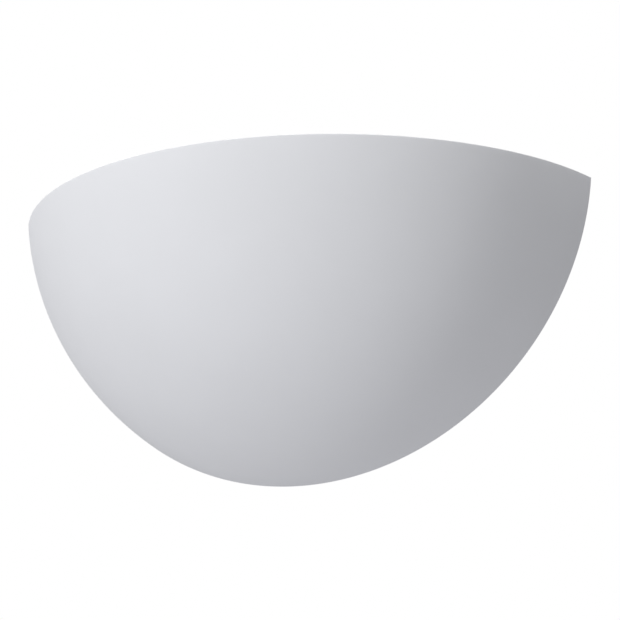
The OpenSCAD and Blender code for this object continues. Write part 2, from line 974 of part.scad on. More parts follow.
module earth_nut() {
    color(brass)
        on_plate(stud_x, stud_z)
            translate([0, 0, washer_t + tag_t])
                hex_nut(7, stud_d, 3.2);
}

// Wires leave the block downwards, run left along the plate, then curve out and into the nipple.
run_y = -plate_stand - 6;
run_z = 6.5 - plate_h / 2;
pair = wire_d / 2 + 0.25;
turn_x = -holder_off - 20;
wire_top = block_z - 2;
pole_foot = block_z - block_h / 2;
function from_block(x, side) = [
    [x, wire_y, wire_top],
    [x, wire_y, pole_foot],
    [x - 1, wire_y, pole_foot - 3],
    [x - 6, run_y, run_z + side * pair]];
function along_plate(side) = [
    for (x = [30:-30:10 - holder_off]) [x, run_y, run_z + side * pair]];
function round_the_end(side) = [
    [turn_x + 12, run_y - 2, run_z + 1 + side * pair],
    [turn_x + 2, run_y - 11, run_z + 6 + side * pair],
    [turn_x, run_y - 24, run_z + 14 + side * pair],
    [turn_x + 3, 3 - lamp_out, lamp_z - 1 + side * pair],
    [-holder_off - nipple_out - 1, -lamp_out, lamp_z + side * pair],
    [-holder_off - nipple_out + 4, -lamp_out, lamp_z + side * pair]];
// Distance along the holder's axis from the bracket, and from the axis, of each point in the holder.
in_holder = [[1, pair], [3.4, 1.6], [5.2, 3.6], [6, 6.4], [7.1, 8.5], [8.4, pole_r], [10.2, pole_r]];
function lead_route(x, side) = concat(from_block(x, side), along_plate(side), round_the_end(side),
    [for (p = in_holder) [p[0] - holder_off, -lamp_out, lamp_z + side * p[1]]]);

module live_wire() {
    color([0.42, 0.24, 0.14])
        wire(lead_route(live_x, -1), wire_d);
}

module neutral_wire() {
    color([0.16, 0.36, 0.72])
        wire(lead_route(neutral_x, 1), wire_d);
}

module earth_wire() {
    tag_y = -plate_stand - washer_t - tag_t - wire_d / 2;
    tag_z = stud_z - barrel_drop - barrel_l;
    color([0.35, 0.6, 0.2])
        wire([[earth_x, wire_y, wire_top], [earth_x, wire_y, pole_foot],
              [earth_x + 1, wire_y, pole_foot - 3], [earth_x + 6, wire_y + 1, pole_foot - 7],
              [stud_x - 5, tag_y - 1, tag_z - 7], [stud_x, tag_y, tag_z - 2],
              [stud_x, tag_y, tag_z + 1], [stud_x, tag_y, tag_z + barrel_l - 0.5]],
            wire_d);
}

module wire_sleeve() {
    route = round_the_end(0);
    color([0.93, 0.92, 0.88])
        hose(concat(along_plate(0), [for (i = [0:len(route) - 3]) route[i]]), sleeve_d, sleeve_d - 1, 3, 10);
}

bowl();
hanger_pins();
wall_plate();
cable_grommet();
holder_bracket();
bracket_rivets();
nipple();
nipple_washer();
nipple_nut();
holder_base();
holder_shroud();
contact_block();
screw_shell();
holder_terminals();
holder_terminal_screws();
contact_plunger();
plunger_clip();
plunger_spring();
lamp_cap();
cap_insulator();
cap_eyelet();
lamp_body();
lamp_dome();
led_board();
led_chips();
terminal_block();
terminal_inserts();
terminal_screws();
block_screws();
earth_stud();
earth_washer();
earth_tag();
earth_nut();
live_wire();
neutral_wire();
earth_wire();
wire_sleeve();
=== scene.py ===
"""Looks of a half-bowl plaster uplighter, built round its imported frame.

Lengths in the formulas below are millimetres, as in the part's source, and become metres when a
surface is put into its mesh. The wall is y = 0, the room is at -y, z is up.
"""
from math import cos, pi, radians, sin, sqrt

import bmesh
import bpy
import numpy as np
from mathutils import Matrix, Vector


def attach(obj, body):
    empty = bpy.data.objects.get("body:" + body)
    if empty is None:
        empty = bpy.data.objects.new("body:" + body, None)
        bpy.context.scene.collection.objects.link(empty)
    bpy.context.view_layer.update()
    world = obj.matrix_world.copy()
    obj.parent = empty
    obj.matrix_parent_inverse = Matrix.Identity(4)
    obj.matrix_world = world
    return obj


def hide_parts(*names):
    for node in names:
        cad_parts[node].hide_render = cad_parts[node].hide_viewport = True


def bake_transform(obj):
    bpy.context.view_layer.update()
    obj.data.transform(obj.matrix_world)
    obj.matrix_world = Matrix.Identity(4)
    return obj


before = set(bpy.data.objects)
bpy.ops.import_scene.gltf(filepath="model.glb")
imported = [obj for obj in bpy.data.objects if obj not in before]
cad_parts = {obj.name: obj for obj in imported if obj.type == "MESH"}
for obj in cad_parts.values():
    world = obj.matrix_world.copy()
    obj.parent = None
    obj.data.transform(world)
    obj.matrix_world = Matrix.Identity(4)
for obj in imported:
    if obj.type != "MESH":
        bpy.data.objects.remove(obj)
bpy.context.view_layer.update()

MM = 0.001

# ---- Sizes repeated from the part's source ----

BOWL_W, BOWL_PROJ, BOWL_H, RIM_DROP = 300, 135, 133, 11
BOWL_T, LIP_T, LIP_D = 7, 5, 8
RIM_Z = 52
RIM_R = (BOWL_PROJ ** 2 + (BOWL_W / 2) ** 2) / (2 * BOWL_PROJ)
AXIS_Y = RIM_R - BOWL_PROJ
WIDE_Z = RIM_Z + RIM_DROP
WALL_SHARE = (AXIS_Y / RIM_R) ** 2
SEMI_V = sqrt(((BOWL_H + RIM_DROP) ** 2 - WALL_SHARE * RIM_DROP ** 2) / (1 - WALL_SHARE))
SEMI_R = RIM_R / sqrt(1 - (RIM_DROP / SEMI_V) ** 2)

PIN_OUT, PIN_Z = 22, 14
BOSS_X, BOSS_R, BOSS_FLARE = 106, 10, 3

PLATE_T, PLATE_STAND = 1.5, 8
ENTRY_D, GROMMET_BORE = 16, 8

HOLDER_OFF, LAMP_OUT, LAMP_Z = 70, 54, 6
NIPPLE_D, NIPPLE_BORE, NIPPLE_IN, NIPPLE_OUT = 10, 7, 4, 7.3
HOLDER_R, SHROUD_T, BASE_L, JOINT_L, HOLDER_L = 20.5, 3, 12, 3, 46
BLOCK_TOP, LAMP_SEAT, SHELL_END, SHELL_T = 20, 23, 43, 0.4
PLUNGER_GAP, PLUNGER_HEAD_D, PLUNGER_HEAD_T, PLUNGER_D = 0.3, 8, 2, 4.6
SPRING_ROOM, SPRING_WIRE = 5, 0.6
POLE_R = 9

THREAD_D, THREAD_PITCH, THREAD_DEPTH, THREAD_GAP, FLARE_L = 25.4, 3.63, 0.9, 0.4, 1.6
THREAD_SIDES = 24
CAP_L, CAP_THREAD_END, CAP_GLASS_L, EYELET_L = 27, 23, 4, 1.2
CAP_COLLAR_D = THREAD_D + 1.8
CAP_ROOT_R = (THREAD_D - THREAD_DEPTH) / 2
DOME_R, DOME_C, DOME_T, BODY_WALL = 30, 78, 1.5, 2
SEAM_W = DOME_C - 10
SEAM_R = sqrt(DOME_R ** 2 - (DOME_C - SEAM_W) ** 2)

BLOCK_Z, BLOCK_H, WIRE_Y, WIRE_D, SLEEVE_D = -1, 18, -15, 2, 6.4
NEUTRAL_X, LIVE_X, EARTH_X = 52, 62, 72
STUD_X, STUD_Z, WASHER_T, TAG_T, BARREL_DROP, BARREL_L = 91, 2, 0.8, 0.8, 7, 5
RUN_Y, RUN_Z, PAIR, TURN_X = -14, -15.5, 1.25, -90


# ---- Grids, and the meshes made from them ----

def grid_faces(rows, cols):
    """Quads between neighbouring rows and columns of a grid of rows * cols points."""
    a = np.arange(rows - 1)[:, None] * cols + np.arange(cols - 1)
    return np.stack([a, a + 1, a + cols + 1, a + cols], -1).reshape(-1, 4)


def weld(points, faces):
    """Merges points that fall in the same micrometre. A quad that loses one corner to this becomes
    a triangle, and one that loses two goes."""
    key = np.round(points * 1000).astype(np.int64)
    _, first, index = np.unique(key, axis=0, return_index=True, return_inverse=True)
    faces = index.reshape(-1)[faces]
    same = faces == np.roll(faces, -1, axis=1)
    lost = same.sum(1)
    quads = np.flatnonzero(lost == 0)
    thirds = np.flatnonzero(lost == 1)
    corner = np.argmax(same[thirds], 1)
    keep = (corner[:, None] + np.arange(1, 4)) % 4
    return points[first], faces, quads, thirds, keep


def make_piece(name, patches, body, node, material, sharp=60, uv=None, inside=None):
    """One closed mesh from several grids of points, given as arrays of rows * columns * 3 in mm.

    Edges sharper than so many degrees stay sharp. uv holds a grid of texture places for each patch,
    and inside one number for each patch, kept as the point attribute "inside".
    """
    starts = np.cumsum([0] + [p.shape[0] * p.shape[1] for p in patches])
    points = np.concatenate([p.reshape(-1, 3) for p in patches])
    faces = np.concatenate([grid_faces(*p.shape[:2]) + s for p, s in zip(patches, starts)])
    kept, joined, quads, thirds, keep = weld(points, faces)
    thirds_of = np.take_along_axis(joined[thirds], keep, 1)
    mesh = bpy.data.meshes.new(name)
    mesh.from_pydata((kept * MM).tolist(), [], joined[quads].tolist() + thirds_of.tolist())
    if uv is not None:
        flat = np.concatenate([u.reshape(-1, 2) for u in uv])
        corners = np.concatenate([flat[faces[quads]].reshape(-1, 2),
                                  flat[np.take_along_axis(faces[thirds], keep, 1)].reshape(-1, 2)])
        mesh.uv_layers.new(name="along").data.foreach_set("uv", corners.astype(np.float32).ravel())
    if inside is not None:
        value = np.zeros(len(kept), np.float32)
        for share, start, patch in zip(inside, starts, patches):
            own = (faces[:, 0] >= start) & (faces[:, 0] < start + patch.shape[0] * patch.shape[1])
            where = np.unique(joined[own])
            value[where] = np.maximum(value[where], share)
        mesh.attributes.new("inside", "FLOAT", "POINT").data.foreach_set("value", value)
    tidy = bmesh.new()
    tidy.from_mesh(mesh)
    bmesh.ops.recalc_face_normals(tidy, faces=tidy.faces)
    tidy.to_mesh(mesh)
    tidy.free()
    mesh.shade_smooth()
    mesh.set_sharp_from_angle(angle=radians(sharp))
    mesh.materials.append(material)
    piece = bpy.data.objects.new(name, mesh)
    bpy.context.scene.collection.objects.link(piece)
    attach(piece, body)
    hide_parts(node)
    return piece


def smooth_step(x):
    """0 below 0, 1 above 1, and 3x^2 - 2x^3 between."""
    x = np.clip(x, 0, 1)
    return x * x * (3 - 2 * x)


# ---- Bowl ----

EDGE_ROUND, RIM_ROUND = 0.4, 0.5
LIP_STEP = 2.4
LIP_FROM, LIP_TO = LIP_D - LIP_STEP / 2, LIP_D + LIP_STEP / 2
ZONE_END = 11
# The depths of the lip's rows: close together at the rounded back edge and over the step.
LIP_ZONE = -np.concatenate([np.linspace(0, EDGE_ROUND, 5), np.linspace(1.2, LIP_FROM - 0.4, 6),
                            np.linspace(LIP_FROM, LIP_TO, 9), [ZONE_END - 1, ZONE_END]])
FRONT_SHARES = np.linspace(-1, 1, 141)
# Shares of the way down a skin, closer together at its lowest point.
SKIN_SHARES = 1 - (1 - np.linspace(0, 1, 150)) ** 1.6
ROUND_ROWS, FLAT_ROWS = 7, 3


def edge_inset(y):
    """How much the outer surface draws in at its back edge: a quarter circle of EDGE_ROUND."""
    near = np.clip((y + EDGE_ROUND) / EDGE_ROUND, 0, 1)
    return EDGE_ROUND * (1 - np.sqrt(1 - near ** 2))


def lip_inset(y):
    """How much thicker the bowl gets towards the room's wall: LIP_T over one soft step."""
    return LIP_T * smooth_step((y + LIP_TO) / LIP_STEP) - edge_inset(y)


def level_radius(z, inset):
    """Radius about the bowl's axis, at level z, of the surface that lies inset under the outer one:
    R = (SEMI_R - inset) sqrt(1 - ((z - WIDE_Z) / (SEMI_V - inset))^2)."""
    return (SEMI_R - inset) * np.sqrt(np.clip(1 - ((z - WIDE_Z) / (SEMI_V - inset)) ** 2, 0, 1))


def depth_line(radius, y):
    """Half width, at depth y, of the circle of that radius: x = sqrt(R^2 - (AXIS_Y - y)^2)."""
    return np.sqrt(np.clip(radius ** 2 - (AXIS_Y - y) ** 2, 0, None))


def front_arc(radius):
    """Points of level circles in front of the lip: x = R sin t and y = AXIS_Y - R cos t, where t
    goes in even shares from one end, at the depth ZONE_END, to the other."""
    turn = FRONT_SHARES * np.arccos((AXIS_Y + ZONE_END) / radius)
    return radius * np.sin(turn), AXIS_Y - radius * np.cos(turn)


def latitude_rows(base, inset, y):
    """Latitudes of a skin's rows, at depth y, from under the rim's rounding to the lowest point."""
    top = np.arcsin((RIM_DROP + RIM_ROUND) / (SEMI_V - base - inset))
    low = np.arccos((AXIS_Y - y) / (SEMI_R - base - inset))
    return top + (low - top) * SKIN_SHARES


def bowl_skin(base, bump):
    """The spheroid's surface base + bump(y) under the outer one, as two grids that share an edge.

    A latitude f gives R = (SEMI_R - inset) cos f and z = WIDE_Z - (SEMI_V - inset) sin f. The lip
    grid has a row for each depth of LIP_ZONE, from the left end of the rim down and up to its right
    end, so that its rows run along the lip. The front grid has a row for each latitude in front.
    """
    y = LIP_ZONE[:, None]
    inset = bump(y)
    f = latitude_rows(base, inset, y)
    half = depth_line((SEMI_R - base - inset) * np.cos(f), y)
    z = WIDE_Z - (SEMI_V - base - inset) * np.sin(f)
    half[:, -1] = 0
    left, right = (np.stack([side * half, y + 0 * z, z], -1) for side in (-1, 1))
    lip = np.concatenate([left, right[:, -2::-1]], 1)
    f = latitude_rows(base, 0, -ZONE_END)[:, None]
    x, y = front_arc((SEMI_R - base) * np.cos(f))
    front = np.stack([x, y, WIDE_Z - (SEMI_V - base) * np.sin(f) + 0 * x], -1)
    rows = len(f)
    front[:, 0], front[:, -1] = lip[-1, :rows], lip[-1, :rows - 2:-1]
    front[-1] = lip[-1, rows - 1]
    return lip, front


def top_row(lip, front):
    """The skin's top edge, from the wall on the left to the wall on the right."""
    return np.concatenate([lip[:, 0], front[0, 1:-1], lip[::-1, -1]])


def rim_rows(base, bump, side):
    """Rows of a rounded rim edge: a quarter circle of RIM_ROUND from the skin to the flat top.

    side is 1 where the flat top lies inwards of the skin, and -1 where it lies outwards.
    """
    a = np.linspace(0, pi / 2, ROUND_ROWS)[:, None]
    z = RIM_Z - RIM_ROUND * (1 - np.sin(a))
    draw = side * RIM_ROUND * (1 - np.cos(a))
    half = depth_line(level_radius(z, base + bump(LIP_ZONE)) - draw, LIP_ZONE)
    x, y = front_arc(level_radius(z, base) - draw)
    depth = LIP_ZONE + 0 * half
    x = np.concatenate([-half, x[:, 1:-1], half[:, ::-1]], 1)
    y = np.concatenate([depth, y[:, 1:-1], depth[:, ::-1]], 1)
    return np.stack([x, y, z + 0 * x], -1)


def bowl_shell():
    """The bowl as grids that share their edges: first outer skin and rim, then inner skin and the
    flat edge against the wall."""
    outer_lip, outer_front = bowl_skin(0, edge_inset)
    inner_lip, inner_front = bowl_skin(BOWL_T, lip_inset)
    outer_edge, inner_edge = rim_rows(0, edge_inset, 1), rim_rows(BOWL_T, lip_inset, -1)
    outer_edge[0], inner_edge[0] = top_row(outer_lip, outer_front), top_row(inner_lip, inner_front)
    flat = np.linspace(0, 1, FLAT_ROWS + 2)[1:-1, None, None]
    top = outer_edge[-1] * (1 - flat) + inner_edge[-1] * flat
    rim = np.concatenate([outer_edge, top, inner_edge[::-1]])
    middle = len(rim) // 2
    back = [np.stack([outer_lip[0], inner_lip[0]])]
    # The rim's two ends lie in the wall's plane, over the skins' top corners.
    for end in (0, -1):
        base = np.concatenate([np.repeat(outer_edge[:1, end], middle, 0),
                               np.repeat(inner_edge[:1, end], len(rim) - middle, 0)])
        back.append(np.stack([rim[:, end], base]))
    return [outer_lip, outer_front, rim], [inner_lip, inner_front, *back]


def boss(side):
    """A plaster boss from its face to the bowl's wall, on a pin's axis.

    The radius grows evenly from BOSS_R to BOSS_R + BOSS_FLARE and flares by a fillet w^6 at the wall,
    where w is the share of the way there. The end is sunk into the wall.
    """
    fillet, soft, sunk = 4.5, 1.2, 2
    a = np.linspace(0, 2 * pi, 73)[None]
    w = np.linspace(0, 1, 33)[:, None]
    end = BOSS_R + BOSS_FLARE + fillet
    wall = sunk + depth_line(level_radius(PIN_Z + end * np.sin(a), BOWL_T), end * np.cos(a) - PIN_OUT)
    corner = np.linspace(0, pi / 2, 6)[:, None]
    r_corner = BOSS_R - soft * (1 - np.sin(corner))
    x_corner = BOSS_X + soft * (1 - np.cos(corner)) + 0 * a
    x_side = BOSS_X + soft + w * (wall - BOSS_X - soft)
    r_side = BOSS_R + BOSS_FLARE * w + fillet * w ** 6
    x = np.concatenate([np.full_like(a, BOSS_X), x_corner, x_side[1:], np.full_like(a, wall.mean())])
    r = np.concatenate([[[0]], r_corner, r_side[1:], [[0]]])
    return np.stack([side * x, -PIN_OUT + r * np.cos(a), PIN_Z + r * np.sin(a)], -1)


# ---- Shaders ----

def place(tree, kind, inputs=None, **settings):
    """Adds a shader node, sets its properties, and gives its inputs values or links."""
    node = tree.nodes.new(kind)
    for key, value in settings.items():
        setattr(node, key, value)
    for key, value in (inputs or {}).items():
        if isinstance(value, bpy.types.NodeSocket):
            tree.links.new(value, node.inputs[key])
        else:
            node.inputs[key].default_value = value
    return node


def number(tree, operation, a, b=0.0, c=0.0):
    """The output of a Math node."""
    return place(tree, "ShaderNodeMath", {0: a, 1: b, 2: c}, operation=operation).outputs[0]


def blend_colour(tree, factor, a, b):
    """The output of a colour Mix node."""
    return place(tree, "ShaderNodeMix", {0: factor, 6: a, 7: b}, data_type="RGBA").outputs[2]


def noise(tree, vector, scale, detail=2.0, roughness=0.5):
    """Smooth noise of 0 to 1 at so many waves a metre."""
    return place(tree, "ShaderNodeTexNoise", {
        "Vector": vector, "Scale": scale, "Detail": detail, "Roughness": roughness}).outputs["Fac"]


def new_group(name, inputs, outputs):
    """An empty shader group with named sockets, and its tree, input node and output node."""
    tree = bpy.data.node_groups.new(name, "ShaderNodeTree")
    for label, kind, value in inputs:
        socket = tree.interface.new_socket(label, in_out="INPUT", socket_type=kind)
        if value is not None:
            socket.default_value = value
    for label, kind in outputs:
        tree.interface.new_socket(label, in_out="OUTPUT", socket_type=kind)
    return tree, tree.nodes.new("NodeGroupInput"), tree.nodes.new("NodeGroupOutput")


FLOAT, COLOUR, VECTOR = "NodeSocketFloat", "NodeSocketColor", "NodeSocketVector"


def mottle_group():
    """Two slow noises that shift a colour and a roughness a little from place to place."""
    tree, given, out = new_group("mottle", [
        ("Vector", VECTOR, None), ("Colour", COLOUR, (0.8, 0.8, 0.8, 1)),
        ("Stain", COLOUR, (0.7, 0.7, 0.68, 1)), ("Amount", FLOAT, 0.2), ("Scale", FLOAT, 20.0),
        ("Roughness", FLOAT, 0.5), ("Roughness Swing", FLOAT, 0.1)],
        [("Colour", COLOUR), ("Roughness", FLOAT)])
    slow = noise(tree, given.outputs["Vector"], given.outputs["Scale"], 3.0, 0.55)
    spread = place(tree, "ShaderNodeMapRange", {
        "Value": slow, "From Min": 0.35, "From Max": 0.65}).outputs["Result"]
    share = number(tree, "MULTIPLY", spread, given.outputs["Amount"])
    tree.links.new(blend_colour(tree, share, given.outputs["Colour"], given.outputs["Stain"]),
                   out.inputs["Colour"])
    finer = number(tree, "MULTIPLY", given.outputs["Scale"], 7.0)
    quick = number(tree, "SUBTRACT", noise(tree, given.outputs["Vector"], finer, 2.0), 0.5)
    swing = number(tree, "MULTIPLY", quick, given.outputs["Roughness Swing"])
    tree.links.new(number(tree, "ADD", swing, given.outputs["Roughness"]), out.inputs["Roughness"])
    return tree


def grain_group():
    """Fine grain over a slower swell, as one height of 0 to 1."""
    tree, given, out = new_group("grain", [
        ("Vector", VECTOR, None), ("Fine", FLOAT, 2000.0), ("Slow", FLOAT, 200.0),
        ("Slow Share", FLOAT, 0.3)], [("Height", FLOAT)])
    fine = noise(tree, given.outputs["Vector"], given.outputs["Fine"], 3.0, 0.6)
    slow = noise(tree, given.outputs["Vector"], given.outputs["Slow"], 2.0)
    node = place(tree, "ShaderNodeMix", {0: given.outputs["Slow Share"], 2: fine, 3: slow})
    tree.links.new(node.outputs[0], out.inputs["Height"])
    return tree


def strokes_group():
    """Fine parallel strokes along X, Y or Z: noise whose space is squeezed across them."""
    tree, given, out = new_group("strokes", [
        ("Vector", VECTOR, None), ("Squeeze", VECTOR, (30.0, 1200.0, 1200.0))], [("Height", FLOAT)])
    squeezed = place(tree, "ShaderNodeVectorMath", {
        0: given.outputs["Vector"], 1: given.outputs["Squeeze"]}, operation="MULTIPLY").outputs[0]
    tree.links.new(noise(tree, squeezed, 1.0, 3.0, 0.6), out.inputs["Height"])
    return tree


MOTTLE, GRAIN, STROKES = mottle_group(), grain_group(), strokes_group()

# The sleeve's braid: how many strands, and the mm along it in which a set's phase turns once.
STRANDS, STRAND_LAY = 12, 9.0
# Turns a metre of the earth wire's stripe and of its copper strands, and how many strands.
STRIPE_WIND, STRAND_WIND, WIRE_STRANDS = 22.0, 25.0, 12


def new_material(name, **sockets):
    """A material whose surface has these plain values, with its tree, its Principled node and the
    object's own coordinates."""
    material = bpy.data.materials.new(name)
    material.use_nodes = True
    tree = material.node_tree
    surface = tree.nodes["Principled BSDF"]
    for key, value in sockets.items():
        surface.inputs[key.replace("_", " ")].default_value = value
    space = place(tree, "ShaderNodeTexCoord").outputs["Object"]
    return material, tree, surface, space


def use_group(tree, group, vector, **values):
    """The outputs of a shader group that is placed with these values."""
    node = place(tree, "ShaderNodeGroup", node_tree=group)
    tree.links.new(vector, node.inputs["Vector"])
    for key, value in values.items():
        node.inputs[key.replace("_", " ")].default_value = value
    return node.outputs


def finish_of(name, colour, stain, amount, scale, roughness, swing, height, depth, **sockets):
    """A material with mottled colour and roughness and a bump of so many metres deep.

    height is a function of the tree and its coordinates that returns a height of 0 to 1.
    """
    material, tree, surface, space = new_material(name, **sockets)
    mottled = use_group(tree, MOTTLE, space, Colour=(*colour, 1), Stain=(*stain, 1), Amount=amount,
                        Scale=scale, Roughness=roughness, Roughness_Swing=swing)
    tree.links.new(mottled["Colour"], surface.inputs["Base Color"])
    tree.links.new(mottled["Roughness"], surface.inputs["Roughness"])
    bump = place(tree, "ShaderNodeBump", {"Height": height(tree, space), "Distance": depth})
    tree.links.new(bump.outputs["Normal"], surface.inputs["Normal"])
    return material


def grainy(fine, slow, share):
    """A height of grain over a swell, each at so many waves a metre; share is the swell's."""
    def height(tree, space):
        return use_group(tree, GRAIN, space, Fine=fine, Slow=slow, Slow_Share=share)["Height"]
    return height


def stroked(squeeze):
    """A height of parallel strokes."""
    def height(tree, space):
        return use_group(tree, STROKES, space, Squeeze=squeeze)["Height"]
    return height


def cast_plaster():
    """White sealed plaster: smooth and finely grained outside, coarser and dustier inside."""
    material, tree, surface, space = new_material("cast_plaster", Specular_IOR_Level=0.08)
    inside = place(tree, "ShaderNodeAttribute", attribute_name="inside").outputs["Fac"]
    mottled = use_group(tree, MOTTLE, space, Colour=(0.852, 0.861, 0.889, 1),
                        Stain=(0.831, 0.839, 0.865, 1), Amount=0.5, Scale=22.0,
                        Roughness=0.78, Roughness_Swing=0.1)
    dust = noise(tree, space, 60.0, 4.0)
    raw = blend_colour(tree, dust, (0.80, 0.79, 0.77, 1), (0.86, 0.855, 0.84, 1))
    colour = blend_colour(tree, inside, mottled["Colour"], raw)
    tree.links.new(colour, surface.inputs["Base Color"])
    rough = number(tree, "ADD", mottled["Roughness"], number(tree, "MULTIPLY", inside, 0.22))
    tree.links.new(rough, surface.inputs["Roughness"])
    skin = grainy(2600.0, 90.0, 0.55)(tree, space)
    coarse = grainy(700.0, 160.0, 0.6)(tree, space)
    fine_bump = place(tree, "ShaderNodeBump", {"Height": skin, "Distance": 0.00006})
    coarse_bump = place(tree, "ShaderNodeBump", {
        "Height": coarse, "Distance": 0.00035, "Strength": number(tree, "MULTIPLY", inside, 0.9),
        "Normal": fine_bump.outputs["Normal"]})
    tree.links.new(coarse_bump.outputs["Normal"], surface.inputs["Normal"])
    return material


def braid_group():
    """Two sets of strands that wind opposite ways round a tube, from its uv in metres and turns.

    A set's phase is pi Strands times the turns round, plus or minus 2 pi times the length over Lay.
    Height is the fine thread wave of the set on top, and Crown is 1 on a strand's back and 0 between
    the strands.
    """
    tree, given, out = new_group("braid", [
        ("Vector", VECTOR, None), ("Strands", FLOAT, STRANDS), ("Lay", FLOAT, STRAND_LAY),
        ("Threads", FLOAT, 5.0)], [("Height", FLOAT), ("Crown", FLOAT)])
    parts = place(tree, "ShaderNodeSeparateXYZ", {"Vector": given.outputs["Vector"]})
    turned_by = number(tree, "MULTIPLY", parts.outputs["Y"],
                       number(tree, "MULTIPLY", given.outputs["Strands"], pi))
    wound = number(tree, "MULTIPLY", parts.outputs["X"],
                   number(tree, "DIVIDE", 2 * pi / MM, given.outputs["Lay"]))
    waves, threads = [], []
    for way in ("ADD", "SUBTRACT"):
        phase = number(tree, way, turned_by, wound)
        waves.append(number(tree, "ABSOLUTE", number(tree, "SINE", phase)))
        finer = number(tree, "MULTIPLY", phase, given.outputs["Threads"])
        threads.append(number(tree, "ABSOLUTE", number(tree, "SINE", finer)))
    over = number(tree, "GREATER_THAN", waves[0], waves[1])
    top = place(tree, "ShaderNodeMix", {0: over, 2: threads[1], 3: threads[0]}).outputs[0]
    tree.links.new(top, out.inputs["Height"])
    tree.links.new(number(tree, "MAXIMUM", waves[0], waves[1]), out.inputs["Crown"])
    return tree


BRAID = braid_group()


def braided_sleeve():
    """Varnished glass fibre: pale strands, with painted shade where they dip under one another."""
    material, tree, surface, space = new_material("braided_sleeve", Sheen_Weight=0.2)
    along = place(tree, "ShaderNodeUVMap", uv_map="along").outputs["UV"]
    braid = use_group(tree, BRAID, along)
    cream = blend_colour(tree, noise(tree, space, 140.0), (0.80, 0.76, 0.66, 1), (0.87, 0.84, 0.76, 1))
    # Painted shade: the dips between the strands are coloured dark brown to stand in for the shade that
    # falls there.
    shade = number(tree, "POWER", braid["Crown"], 2.0)
    colour = blend_colour(tree, shade, (0.52, 0.47, 0.38, 1), cream)
    tree.links.new(colour, surface.inputs["Base Color"])
    rough = number(tree, "MULTIPLY_ADD", noise(tree, space, 900.0), 0.2, 0.55)
    tree.links.new(rough, surface.inputs["Roughness"])
    bump = place(tree, "ShaderNodeBump", {"Height": braid["Height"], "Distance": 0.00008})
    tree.links.new(bump.outputs["Normal"], surface.inputs["Normal"])
    return material


def striped_insulation(bare_from):
    """Green insulation with one yellow stripe that winds slowly round the wire, and bare copper
    strands past bare_from metres along it."""
    material, tree, surface, space = new_material("striped_insulation")
    along = place(tree, "ShaderNodeUVMap", uv_map="along").outputs["UV"]
    parts = place(tree, "ShaderNodeSeparateXYZ", {"Vector": along})
    place_round = number(tree, "MULTIPLY_ADD", parts.outputs["X"], STRIPE_WIND, parts.outputs["Y"])
    wave = number(tree, "SINE", number(tree, "MULTIPLY", place_round, 2 * pi))
    stripe = place(tree, "ShaderNodeMapRange", {"Value": wave, "From Min": 0.22, "From Max": 0.3})
    tone = noise(tree, space, 300.0)
    green = blend_colour(tree, tone, (0.05, 0.28, 0.04, 1), (0.08, 0.36, 0.06, 1))
    yellow = blend_colour(tree, tone, (0.80, 0.62, 0.05, 1), (0.87, 0.70, 0.08, 1))
    striped = blend_colour(tree, stripe.outputs["Result"], green, yellow)
    copper = blend_colour(tree, tone, (0.72, 0.36, 0.22, 1), (0.86, 0.50, 0.35, 1))
    bare = number(tree, "GREATER_THAN", parts.outputs["X"], bare_from)
    tree.links.new(blend_colour(tree, bare, striped, copper), surface.inputs["Base Color"])
    tree.links.new(bare, surface.inputs["Metallic"])
    tree.links.new(number(tree, "MULTIPLY_ADD", noise(tree, space, 700.0), 0.15, 0.33),
                   surface.inputs["Roughness"])
    twist = number(tree, "MULTIPLY_ADD", parts.outputs["X"], STRAND_WIND, parts.outputs["Y"])
    strands = number(tree, "SINE", number(tree, "MULTIPLY", twist, 2 * pi * WIRE_STRANDS))
    skin = grainy(1800.0, 260.0, 0.6)(tree, space)
    height = place(tree, "ShaderNodeMix", {0: bare, 2: skin, 3: strands}).outputs[0]
    bump = place(tree, "ShaderNodeBump", {"Height": height, "Distance": 0.00002})
    tree.links.new(bump.outputs["Normal"], surface.inputs["Normal"])
    return material


PLASTER = cast_plaster()
POWDER_COAT = finish_of(
    "white_powder_coat", (0.84, 0.84, 0.82), (0.8, 0.8, 0.77), amount=0.3, scale=30.0,
    roughness=0.42, swing=0.12, height=grainy(1500.0, 500.0, 0.6), depth=0.00004)
ZINC = finish_of(
    "bright_zinc", (0.60, 0.61, 0.63), (0.48, 0.49, 0.5), amount=0.5, scale=160.0,
    roughness=0.3, swing=0.25, height=stroked((60.0, 1800.0, 1800.0)), depth=0.00001, Metallic=1.0)
BRASS = finish_of(
    "rolled_brass", (0.76, 0.58, 0.27), (0.6, 0.42, 0.19), amount=0.5, scale=120.0,
    roughness=0.27, swing=0.2, height=grainy(1800.0, 300.0, 0.4), depth=0.00001, Metallic=1.0)
NICKEL = finish_of(
    "nickel_plate", (0.70, 0.68, 0.64), (0.6, 0.58, 0.54), amount=0.4, scale=90.0,
    roughness=0.24, swing=0.15, height=grainy(2200.0, 260.0, 0.5), depth=0.00001, Metallic=1.0)
RUBBER = finish_of(
    "black_rubber", (0.022, 0.022, 0.023), (0.05, 0.05, 0.05), amount=0.4, scale=90.0,
    roughness=0.62, swing=0.2, height=grainy(1400.0, 300.0, 0.3), depth=0.00006)
PORCELAIN = finish_of(
    "glazed_porcelain", (0.86, 0.845, 0.80), (0.80, 0.78, 0.73), amount=0.35, scale=60.0,
    roughness=0.16, swing=0.1, height=grainy(900.0, 120.0, 0.8), depth=0.00004,
    Coat_Weight=0.4, Coat_Roughness=0.06)
BLACK_GLASS = finish_of(
    "black_glass", (0.012, 0.012, 0.014), (0.03, 0.03, 0.032), amount=0.3, scale=150.0,
    roughness=0.12, swing=0.08, height=grainy(900.0, 200.0, 0.8), depth=0.00003)
LAMP_WHITE = finish_of(
    "lamp_moulding", (0.84, 0.84, 0.82), (0.81, 0.81, 0.78), amount=0.3, scale=40.0,
    roughness=0.38, swing=0.1, height=grainy(1700.0, 300.0, 0.4), depth=0.00002)
